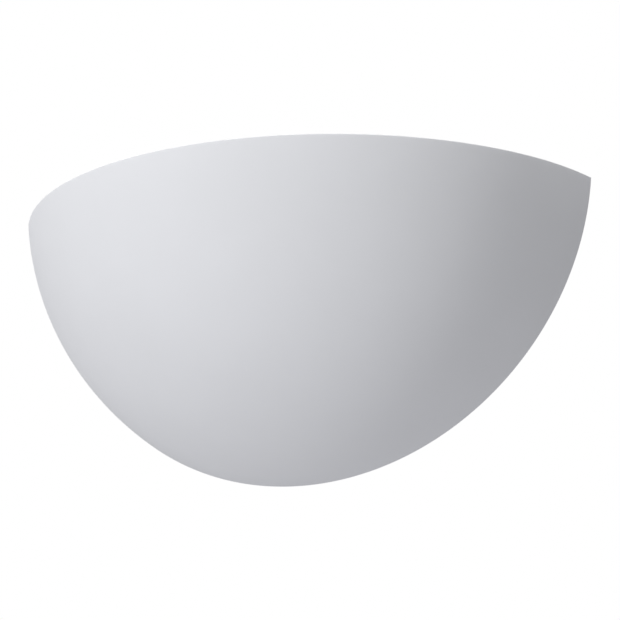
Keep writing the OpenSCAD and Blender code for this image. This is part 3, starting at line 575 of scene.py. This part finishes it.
OPAL = finish_of(
    "opal_dome", (0.87, 0.87, 0.85), (0.85, 0.85, 0.83), amount=0.3, scale=25.0,
    roughness=0.3, swing=0.06, height=grainy(1500.0, 80.0, 0.7), depth=0.00001,
    Subsurface_Weight=0.25, Subsurface_Scale=0.004, Subsurface_Radius=(1.0, 0.92, 0.85))
BOARD = finish_of(
    "coated_board", (0.8, 0.81, 0.8), (0.74, 0.75, 0.74), amount=0.4, scale=120.0,
    roughness=0.5, swing=0.1, height=grainy(1500.0, 300.0, 0.5), depth=0.00002)
PHOSPHOR = finish_of(
    "phosphor_gel", (0.86, 0.62, 0.12), (0.78, 0.5, 0.08), amount=0.5, scale=600.0,
    roughness=0.3, swing=0.1, height=grainy(3000.0, 600.0, 0.5), depth=0.00003, Coat_Weight=0.3)
BLOCK = finish_of(
    "ivory_moulding", (0.83, 0.81, 0.74), (0.78, 0.75, 0.67), amount=0.35, scale=80.0,
    roughness=0.45, swing=0.12, height=grainy(1600.0, 260.0, 0.4), depth=0.00003)
BROWN, BLUE = (finish_of(name, colour, stain, amount=0.5, scale=120.0, roughness=0.4, swing=0.12,
                         height=grainy(1800.0, 260.0, 0.6), depth=0.00002)
               for name, colour, stain in (
                   ("brown_insulation", (0.16, 0.065, 0.028), (0.11, 0.045, 0.02)),
                   ("blue_insulation", (0.03, 0.13, 0.42), (0.02, 0.1, 0.34))))
SLEEVE = braided_sleeve()


# ---- The bowl's piece ----

sealed, raw = bowl_shell()
raw += [boss(-1), boss(1)]
make_piece("bowl_shell", sealed + raw, "bowl", "bowl", PLASTER, sharp=50,
           inside=[0] * len(sealed) + [1] * len(raw))


# ---- Turned pieces ----

X, Y, Z = np.eye(3)
ON_LAMP_AXIS = (np.array([-HOLDER_OFF, -LAMP_OUT, LAMP_Z]), X, -Z, Y)


def on_plate(x, z):
    """A place on the plate's face, whose axis points into the room."""
    return np.array([x, -PLATE_STAND, z]), -Y, X, Z


def spun(w, r, where, sides=96):
    """Points at height w and radius r, carried round an axis: origin + w axis + r (cos a, sin a)."""
    origin, axis, side, up = where
    a = np.linspace(0, 2 * pi, sides + 1)[None, :, None]
    w, r = (np.asarray(v, float) for v in (w, r))
    w, r = (v[:, None, None] if v.ndim == 1 else v[:, :, None] for v in (w, r))
    points = origin + w * axis + r * (np.cos(a) * side + np.sin(a) * up)
    points[:, -1] = points[:, 0]
    return points


def soften(profile, radius, steps=4):
    """A closed outline of (radius, height) points with each corner p replaced by the curve
    (1-t)^2 a + 2t(1-t) p + t^2 c, where a and c lie at most radius before and after it. Corners on
    the axis stay."""
    p = np.array(profile, float)
    ends = []
    for way in (1, -1):
        side = np.roll(p, way, 0) - p
        length = np.linalg.norm(side, axis=1, keepdims=True)
        ends.append(p + side / length * np.minimum(radius, 0.45 * length) * (p[:, :1] > 0))
    a, c = ends
    t = np.linspace(0, 1, steps + 1)[None, :, None]
    curve = (1 - t) ** 2 * a[:, None] + 2 * t * (1 - t) * p[:, None] + t ** 2 * c[:, None]
    return curve.reshape(-1, 2)


def turned(profile, where, radius=0.4, sides=96):
    """A closed solid of revolution from a closed outline of (radius, height) points."""
    outline = soften(profile, radius)
    outline = np.concatenate([outline, outline[:1]])
    return spun(outline[:, 1], outline[:, 0], where, sides)


def arc(r, h, radius, start, stop, steps):
    """Points of an arc about (r, h), in (radius, height), with angles in degrees."""
    a = np.radians(np.linspace(start, stop, steps))
    return [[r + radius * cos(t), h + radius * sin(t)] for t in a]


def base_outline():
    """The holder's foot: a round shoulder, a spigot that goes into the sleeve, and a bored floor."""
    corner, spigot_wall = 7, 3
    spigot = HOLDER_R - SHROUD_T / 2
    room, shoulder = spigot - spigot_wall, BASE_L - JOINT_L
    return ([[NIPPLE_D / 2, 0]] + arc(HOLDER_R - corner, corner, corner, -90, 0, 16)
            + [[HOLDER_R, shoulder], [spigot, shoulder], [spigot, BASE_L], [room, BASE_L],
               [room, NIPPLE_IN], [NIPPLE_D / 2, NIPPLE_IN]])


def shroud_outline():
    """The holder's sleeve: it steps in a little past its middle, and its lip is a half circle."""
    joint, bore, lip = HOLDER_R - SHROUD_T / 2, HOLDER_R - SHROUD_T, SHROUD_T / 2
    step, step_at = 0.6, BASE_L + 14
    return ([[joint, BASE_L - JOINT_L], [HOLDER_R, BASE_L - JOINT_L], [HOLDER_R, step_at],
             [HOLDER_R - step, step_at + 1]]
            + arc(HOLDER_R - step - lip, HOLDER_L - lip, lip, 0, 180, 16)
            + [[bore - step, BLOCK_TOP + 4], [bore, BLOCK_TOP + 3], [bore, BASE_L], [joint, BASE_L]])


def grommet_outline():
    """The grommet: two flanges, one on each face of the plate, with a groove between them."""
    flange, rim, taper, mouth = 2, 3, 1, 0.6
    bore, outer = GROMMET_BORE / 2, ENTRY_D / 2 + rim
    return [[bore, -PLATE_T - flange], [outer - taper, -PLATE_T - flange], [outer, -PLATE_T],
            [ENTRY_D / 2, -PLATE_T], [ENTRY_D / 2, 0], [outer, 0], [outer - taper, flange],
            [bore + mouth, flange], [bore, flange - mouth]]


def body_outline():
    """The lamp's lower half: the radius grows from the neck by sin(90 t)^1.35 to the seam. A foot
    goes into the cap."""
    neck = CAP_COLLAR_D / 2 - SHELL_T - 0.3
    start, low = neck + 0.4, CAP_L + 0.1
    t = np.linspace(0, 1, 40)
    flare = start + (SEAM_R - start) * np.sin(pi / 2 * t) ** 1.35
    height = low + (SEAM_W - low) * t
    outer = np.stack([flare, height], 1)
    lining = np.stack([flare - BODY_WALL, height], 1)[::-1]
    foot = [[neck - BODY_WALL, CAP_THREAD_END + 1], [neck - 0.2, CAP_THREAD_END + 2], [neck, low]]
    return np.concatenate([outer, lining, foot]) + [0, LAMP_SEAT]


def dome_outline():
    """The opal dome: two arcs about the dome's centre, from the seam to the tip and back."""
    inner = DOME_R - DOME_T
    seam, inner_seam = (np.degrees(np.arcsin((SEAM_W - DOME_C) / r)) for r in (DOME_R, inner))
    outer_arc = np.array(arc(0, DOME_C, DOME_R, seam, 90, 60))
    inner_arc = np.array(arc(0, DOME_C, inner, 90, inner_seam, 50))
    outer_arc[-1, 0] = inner_arc[0, 0] = 0
    return np.concatenate([outer_arc, inner_arc]) + [0, LAMP_SEAT]


def insulator_outline():
    """The cap's glass: a cone round the contact, and a plug that just goes into the cap's sheet."""
    plug = (CAP_ROOT_R - SHELL_T) * cos(pi / THREAD_SIDES) - 0.05
    low, high = CAP_GLASS_L, CAP_GLASS_L + 2
    return np.array([[0, EYELET_L], [5, EYELET_L], [CAP_ROOT_R - 1.2, low - 0.6], [CAP_ROOT_R, low],
                     [plug, low], [plug, high], [0, high]]) + [0, LAMP_SEAT]


def contact_outline():
    """The cap's centre contact."""
    return np.array([[0, 0], [3.5, 0], [4.75, EYELET_L], [0, EYELET_L]]) + [0, LAMP_SEAT]


def turned_piece(name, outline, body, node, material, radius=0.4, sides=96, where=ON_LAMP_AXIS):
    """One piece from a closed outline that turns about an axis."""
    patches = [turned(outline, where, radius, sides)]
    make_piece(name, patches, body, node, material, sharp=50)


turned_piece("holder_foot", base_outline(), "wall_unit", "holder_base", PORCELAIN)
turned_piece("holder_sleeve", shroud_outline(), "wall_unit", "holder_shroud", PORCELAIN)
turned_piece("entry_grommet", grommet_outline(), "wall_unit", "cable_grommet", RUBBER,
             where=on_plate(0, 0))
turned_piece("lamp_lower_half", body_outline(), "lamp", "lamp_body", LAMP_WHITE,
             radius=0.25)
turned_piece("lamp_opal_dome", dome_outline(), "lamp", "lamp_dome", OPAL, radius=0.3, sides=128)
turned_piece("lamp_cap_glass", insulator_outline(), "lamp", "cap_insulator", BLACK_GLASS)
turned_piece("lamp_cap_contact", contact_outline(), "lamp", "cap_eyelet", ZINC,
             radius=0.6)


# ---- Screw threads ----

THREAD_FADE = 2


def rolled_wave(w, a, start, stop, rest):
    """How far the rolled thread stands from its mean radius: THREAD_DEPTH / 2 cos(2 pi w / pitch - a),
    fading over THREAD_FADE at its ends to its crest (rest 1) or its root (rest -1)."""
    share = np.clip(np.minimum(w - start, stop - w) / THREAD_FADE, 0, 1)
    return THREAD_DEPTH / 2 * (share * np.cos(2 * pi * w / THREAD_PITCH - a) + (1 - share) * rest)


def rolled_tube(z0, z1, r_out, r_in, start, stop, rest, flare=0.0, sides=96, rows=24):
    """A thin sheet tube from height z0 to z1 with the thread rolled into it from start to stop, which
    widens by flare past the thread. rows is how many there are to a pitch."""
    w = np.linspace(z0, z1, int((z1 - z0) / THREAD_PITCH * rows))[:, None]
    a = np.linspace(0, 2 * pi, sides + 1)[None]
    swell = rolled_wave(w, a, start, stop, rest) + flare * smooth_step((w - stop) / FLARE_L)
    heights = np.concatenate([w, w[::-1], w[:1]])
    radii = np.concatenate([r_out + swell, (r_in + swell)[::-1], (r_out + swell)[:1]])
    return spun(heights * np.ones_like(a), radii, ON_LAMP_AXIS, sides)


def cut_thread(w0, w1, r, pitch, depth, where, bore=0.0, sides=48, rows=10):
    """A threaded rod: r less depth (1 - cos(2 pi w / pitch - a)) / 2, and less depth at both ends,
    where it is chamfered. With a bore it is a tube, and without one its ends close on the axis."""
    w = np.linspace(w0, w1, int((w1 - w0) / pitch * rows))[:, None]
    a = np.linspace(0, 2 * pi, sides + 1)[None]
    end = np.clip(np.minimum(w - w0, w1 - w) / pitch, 0, 1)
    radii = r - depth * (1 - end * (1 + np.cos(2 * pi * w / pitch - a)) / 2)
    flat = np.ones_like(a)
    heights = np.concatenate([w[:1], w, w[::-1][:1], w[:1]]) * flat
    radii = np.concatenate([bore * flat, radii, bore * flat, bore * flat])
    return spun(heights, radii, where, sides)


shell_r, cap_r = THREAD_D / 2 + THREAD_GAP, THREAD_D / 2
shell_tube = rolled_tube(BLOCK_TOP, SHELL_END, shell_r + SHELL_T, shell_r,
                         start=LAMP_SEAT, stop=SHELL_END, rest=1)
make_piece("holder_screw_shell", [shell_tube], "wall_unit", "screw_shell", BRASS)
cap_tube = rolled_tube(LAMP_SEAT + CAP_GLASS_L, LAMP_SEAT + CAP_L, cap_r, cap_r - SHELL_T,
                       start=LAMP_SEAT + CAP_GLASS_L + 1, stop=LAMP_SEAT + CAP_THREAD_END, rest=-1,
                       flare=CAP_COLLAR_D / 2 - CAP_ROOT_R)
make_piece("lamp_screw_cap", [cap_tube], "lamp", "lamp_cap", NICKEL)
nipple_rod = cut_thread(-NIPPLE_OUT, NIPPLE_IN, NIPPLE_D / 2, pitch=1.0, depth=0.35,
                        where=ON_LAMP_AXIS, bore=NIPPLE_BORE / 2)
make_piece("holder_nipple", [nipple_rod], "wall_unit", "nipple", ZINC)

STUD_R, STUD_HEAD_R, STUD_HEAD_T, STUD_L = 2, 4, 2, 11
stud = on_plate(STUD_X, STUD_Z)
head_outline = [[0, -PLATE_T - STUD_HEAD_T], [STUD_HEAD_R, -PLATE_T - STUD_HEAD_T],
                [STUD_HEAD_R, -PLATE_T], [0, -PLATE_T]]
stud_rod = cut_thread(-PLATE_T - 1, STUD_L, STUD_R, pitch=0.7, depth=0.25, where=stud, sides=32)
make_piece("earth_stud_screw", [stud_rod, turned(head_outline, stud, radius=0.5, sides=64)],
           "wall_unit", "earth_stud", ZINC)


# ---- Wires, sleeve and spring ----

def smooth_path(knots, steps):
    """A smooth curve through the knots: 0.5 (2b + (c-a) t + (2a-5b+4c-d) t^2 + (3b-a-3c+d) t^3)."""
    p = np.array(knots, float)
    p = np.concatenate([p[:1], p, p[-1:]])
    a, b, c, d = (p[i:len(p) - 3 + i, None] for i in range(4))
    t = np.arange(steps)[None, :, None] / steps
    curve = 0.5 * (2 * b + (c - a) * t + (2 * a - 5 * b + 4 * c - d) * t ** 2
                   + (3 * b - a - 3 * c + d) * t ** 3)
    return np.concatenate([curve.reshape(-1, 3), p[-1:]])


def swept(path, radius, sides, bore=0.0):
    """Rings round a path, with uv: the distance along it in metres and the share of the way round.

    radius is a number or a function of the distance in mm and the angle. The side vectors turn as
    little as possible. The ends close on the path, or on the bore's rings.
    """
    step = np.gradient(path, axis=0)
    tangent = step / np.linalg.norm(step, axis=1, keepdims=True)
    side = np.empty_like(path)
    last = np.cross(tangent[0], Z if abs(tangent[0] @ Z) < 0.9 else X)
    for i, t in enumerate(tangent):
        last = last - (last @ t) * t
        last = last / np.linalg.norm(last)
        side[i] = last
    up = np.cross(tangent, side)
    along = np.concatenate([[0], np.cumsum(np.linalg.norm(np.diff(path, axis=0), axis=1))])[:, None]
    a = np.linspace(0, 2 * pi, sides + 1)[None]
    r = radius(along, a) if callable(radius) else radius + 0 * along * a
    ring = np.cos(a)[..., None] * side[:, None] + np.sin(a)[..., None] * up[:, None]
    skin = path[:, None] + r[..., None] * ring
    lining = path[:, None] + bore * ring
    if bore:
        points = np.concatenate([skin, lining[::-1], skin[:1]])
        order = np.concatenate([along, along[::-1], along[:1]])
    else:
        points = np.concatenate([lining[:1], skin, lining[-1:]])
        order = np.concatenate([along[:1], along, along[-1:]])
    points[:, -1] = points[:, 0]
    uv = np.stack([order * MM + 0 * a, a / (2 * pi) + 0 * order], -1)
    return points, uv


def lead_route(x, side):
    """The route of a lead from its pole at x to its terminal in the holder; side is -1, 0 or 1."""
    foot, lift = BLOCK_Z - BLOCK_H / 2, RUN_Z + side * PAIR
    from_block = [[x, WIRE_Y, BLOCK_Z - 2], [x, WIRE_Y, foot], [x - 1, WIRE_Y, foot - 3],
                  [x - 6, RUN_Y, lift]]
    along_plate = [[k, RUN_Y, lift] for k in (30, 0, -30, -60)]
    entry, level = -HOLDER_OFF - NIPPLE_OUT, LAMP_Z + side * PAIR
    round_the_end = [[TURN_X + 12, RUN_Y - 2, lift + 1], [TURN_X + 2, RUN_Y - 11, lift + 6],
                     [TURN_X, RUN_Y - 24, lift + 14], [TURN_X + 3, 3 - LAMP_OUT, level - 1],
                     [entry - 1, -LAMP_OUT, level], [entry + 4, -LAMP_OUT, level]]
    in_holder = [[1, PAIR], [3.4, 1.6], [5.2, 3.6], [6, 6.4], [7.1, 8.5], [8.4, POLE_R], [10.2, POLE_R]]
    return from_block, along_plate, round_the_end, [
        [w - HOLDER_OFF, -LAMP_OUT, LAMP_Z + side * r] for w, r in in_holder]


def lead(name, x, side, node, material):
    """An insulated wire along its route."""
    points, uv = swept(smooth_path(sum(lead_route(x, side), []), 10), WIRE_D / 2, 20)
    make_piece(name, [points], "wall_unit", node, material, uv=[uv])


RELIEF, SLEEVE_WALL = 0.18, 0.5
BARE_L, BARE_D = BARREL_L + 0.5, 1.6


def woven(distance, angle):
    """Radius of a braided sleeve: SLEEVE_D / 2 less RELIEF (1 - m^1.5), where m is the higher of
    |sin(STRANDS / 2 angle + 2 pi distance / STRAND_LAY)| and the same with a minus."""
    left, right = (np.abs(np.sin(STRANDS / 2 * angle + way * 2 * pi * distance / STRAND_LAY))
                   for way in (1, -1))
    return SLEEVE_D / 2 - RELIEF * (1 - np.maximum(left, right) ** 1.5)


def stripped(distance, angle):
    """Radius of the earth wire: WIRE_D / 2, and BARE_D / 2 over its last BARE_L."""
    bare = distance > distance[-1] - BARE_L
    return np.where(bare, BARE_D, WIRE_D) / 2 + 0 * angle


def earth_route():
    """The route of the earth wire from its pole, down and up into the barrel of the tag."""
    foot = BLOCK_Z - BLOCK_H / 2
    y, z = -PLATE_STAND - WASHER_T - TAG_T - WIRE_D / 2, STUD_Z - BARREL_DROP - BARREL_L
    return [[EARTH_X, WIRE_Y, BLOCK_Z - 2], [EARTH_X, WIRE_Y, foot], [EARTH_X + 1, WIRE_Y, foot - 3],
            [EARTH_X + 6, WIRE_Y + 1, foot - 7], [STUD_X - 5, y - 1, z - 7], [STUD_X, y, z - 2],
            [STUD_X, y, z + 1], [STUD_X, y, z + BARREL_L - 0.5]]


lead("live_lead", LIVE_X, -1, "live_wire", BROWN)
lead("neutral_lead", NEUTRAL_X, 1, "neutral_wire", BLUE)

earth_points, earth_uv = swept(smooth_path(earth_route(), 10), stripped, 24)
GREEN = striped_insulation(earth_uv[-1, 0, 0] - BARE_L * MM)
make_piece("earth_lead", [earth_points], "wall_unit", "earth_wire", GREEN, uv=[earth_uv])

sleeve_run = sum(lead_route(NEUTRAL_X, 0)[1:3], [])[:-2]
sleeve_points, sleeve_uv = swept(smooth_path(sleeve_run, 46), woven, 60, SLEEVE_D / 2 - SLEEVE_WALL)
make_piece("lead_sleeve", [sleeve_points], "wall_unit", "wire_sleeve", SLEEVE, 80,
           uv=[sleeve_uv])


SPRING_LOW = BLOCK_TOP - SPRING_ROOM + SPRING_WIRE / 2
SPRING_HIGH = LAMP_SEAT - PLUNGER_GAP - PLUNGER_HEAD_T - SPRING_WIRE / 2
SPRING_TURNS = 4


def coil_spring():
    """A helix of wire between the block's recess and the plunger's head."""
    t = np.linspace(0, 1, SPRING_TURNS * 48 + 1)[:, None]
    r = (PLUNGER_D + PLUNGER_HEAD_D + 0.6) / 4
    origin, axis, side, up = ON_LAMP_AXIS
    turn = 2 * SPRING_TURNS * pi * t
    height = SPRING_LOW + (SPRING_HIGH - SPRING_LOW) * t
    path = origin + height * axis + r * (np.cos(turn) * side + np.sin(turn) * up)
    return swept(path, SPRING_WIRE / 2, 12)[0]


spring = make_piece("contact_spring", [coil_spring()], "wall_unit", "plunger_spring",
                    ZINC)
spring.parent = None
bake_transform(spring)


# ---- Finishes and edges of the nodes that keep their own shape ----

# How near points are joined, in metres, and the angles of a flat face and an eased edge, in degrees.
SAME_POINT, FLAT_WITHIN, EASE_FROM = 2e-6, 0.3, 38


def ease_edges(piece, width):
    """Joins a frame piece's loose triangles into its flat faces, and rounds its edges by so many
    millimetres. Edges of less than EASE_FROM degrees, as on round sides, stay."""
    joined = piece.modifiers.new("join", "WELD")
    joined.merge_threshold = SAME_POINT
    flat = piece.modifiers.new("flat", "DECIMATE")
    flat.decimate_type, flat.angle_limit = "DISSOLVE", radians(FLAT_WITHIN)
    eased = piece.modifiers.new("ease", "BEVEL")
    eased.width, eased.segments, eased.limit_method = width * MM, 2, "ANGLE"
    eased.angle_limit = radians(EASE_FROM)


# The finish of each node that keeps its own shape, and by how much its edges are eased.
KEPT_NODES = {
    "hanger_pins": (ZINC, 0.4), "wall_plate": (POWDER_COAT, 0.3), "holder_bracket": (ZINC, 0.3),
    "bracket_rivets": (ZINC, 0.3), "nipple_washer": (ZINC, 0.1), "nipple_nut": (ZINC, 0.15),
    "contact_block": (PORCELAIN, 0.2), "holder_terminals": (BRASS, 0),
    "holder_terminal_screws": (ZINC, 0), "contact_plunger": (BRASS, 0.1), "plunger_clip": (ZINC, 0),
    "led_board": (BOARD, 0), "led_chips": (PHOSPHOR, 0), "terminal_block": (BLOCK, 0.35),
    "terminal_inserts": (BRASS, 0), "terminal_screws": (ZINC, 0.1), "block_screws": (ZINC, 0.12),
    "earth_washer": (ZINC, 0.12), "earth_tag": (NICKEL, 0.15), "earth_nut": (BRASS, 0.15),
}
for node, (material, width) in KEPT_NODES.items():
    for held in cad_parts[node].material_slots:
        held.material = material
    if width:
        ease_edges(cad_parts[node], width)


# ---- Camera ----

# Where the camera stands: right of straight on, below the rim's level, and off in metres.
VIEW_AZIMUTH, VIEW_DROP, VIEW_DISTANCE = radians(28.91), radians(16.66), 2.1178
VIEW_LENS, SENSOR_WIDTH = 248.64, 36
# Where it looks, in metres right of and over the middle of the rim's chord.
VIEW_SHIFT_RIGHT, VIEW_SHIFT_UP = -0.003343, -0.04267


def aim_camera():
    """Puts the camera in its place, level with the room."""
    towards = Vector((sin(VIEW_AZIMUTH) * cos(VIEW_DROP), -cos(VIEW_AZIMUTH) * cos(VIEW_DROP),
                      -sin(VIEW_DROP)))
    right = Vector((cos(VIEW_AZIMUTH), sin(VIEW_AZIMUTH), 0))
    up = towards.cross(right)
    target = Vector((0, 0, RIM_Z * MM)) + right * VIEW_SHIFT_RIGHT + up * VIEW_SHIFT_UP
    camera = bpy.data.objects.new("camera", bpy.data.cameras.new("camera"))
    camera.data.lens, camera.data.sensor_width = VIEW_LENS, SENSOR_WIDTH
    camera.data.clip_start, camera.data.clip_end = 0.05, 50
    turn = Matrix((right, up, towards)).transposed().to_4x4()
    camera.matrix_world = Matrix.Translation(target + towards * VIEW_DISTANCE) @ turn
    bpy.context.scene.collection.objects.link(camera)
    bpy.context.scene.camera = camera


aim_camera()


# ---- Light, floor and background ----

def add_sun(name, azimuth, elevation, strength, softness):
    """A far lamp. Azimuth is measured from straight in front (-Y) towards +X; all angles are in
    degrees, and softness is how wide the lamp looks."""
    lamp = bpy.data.lights.new(name, "SUN")
    lamp.energy, lamp.angle = strength, radians(softness)
    a, e = radians(azimuth), radians(elevation)
    away = Vector((sin(a) * cos(e), -cos(a) * cos(e), sin(e)))
    holder = bpy.data.objects.new(name, lamp)
    holder.matrix_world = away.to_track_quat("Z", "Y").to_matrix().to_4x4()
    bpy.context.scene.collection.objects.link(holder)


add_sun("key", -25, 5, 1.43, 12)
add_sun("front_fill", 14, 30, 0.62, 40)
add_sun("high_back", 140, 60, 0.6, 40)
add_sun("overhead", 0, 90, 1.58, 40)

# The floor's height and half width in metres, and its look.
FLOOR_Z, FLOOR_HALF, FLOOR_LINES = -2.6, 9, 13
FLOOR_COLOUR, FLOOR_GLOW = (0.505, 0.505, 0.52), 0.53


def lay_floor():
    """A pale floor, as a square grid, well below the fitting. The camera sees it as white."""
    u = np.linspace(-FLOOR_HALF, FLOOR_HALF, FLOOR_LINES)
    x, y = np.meshgrid(u, u)
    points = np.stack([x, y, np.full_like(x, FLOOR_Z)], -1)
    mesh = bpy.data.meshes.new("floor")
    mesh.from_pydata(points.reshape(-1, 3).tolist(), [], grid_faces(FLOOR_LINES, FLOOR_LINES).tolist())
    material, tree, surface, _ = new_material("floor_paint", Roughness=0.9, Emission_Color=(1, 1, 1, 1),
                                              Base_Color=(*FLOOR_COLOUR, 1))
    seen = place(tree, "ShaderNodeLightPath").outputs["Is Camera Ray"]
    bright = number(tree, "MULTIPLY", seen, FLOOR_GLOW)
    tree.links.new(bright, surface.inputs["Emission Strength"])
    mesh.materials.append(material)
    floor = bpy.data.objects.new("floor", mesh)
    bpy.context.scene.collection.objects.link(floor)


lay_floor()


WORLD_FILL, WORLD_SEEN = 0.2, 1.0


def light_world():
    """Even pale light from all round; white where the camera, gloss or glass look into it."""
    world = bpy.data.worlds.new("studio")
    world.use_nodes = True
    tree = world.node_tree
    back_node = tree.nodes["Background"]
    path = place(tree, "ShaderNodeLightPath")
    seen = path.outputs["Is Camera Ray"]
    for ray in ("Is Glossy Ray", "Is Transmission Ray"):
        seen = number(tree, "MAXIMUM", seen, path.outputs[ray])
    strength = place(tree, "ShaderNodeMix", {0: seen, 2: WORLD_FILL, 3: WORLD_SEEN})
    back_node.inputs["Color"].default_value = (1, 1, 1, 1)
    tree.links.new(strength.outputs[0], back_node.inputs["Strength"])
    bpy.context.scene.world = world


light_world()
bpy.context.scene.view_settings.view_transform = "Standard"
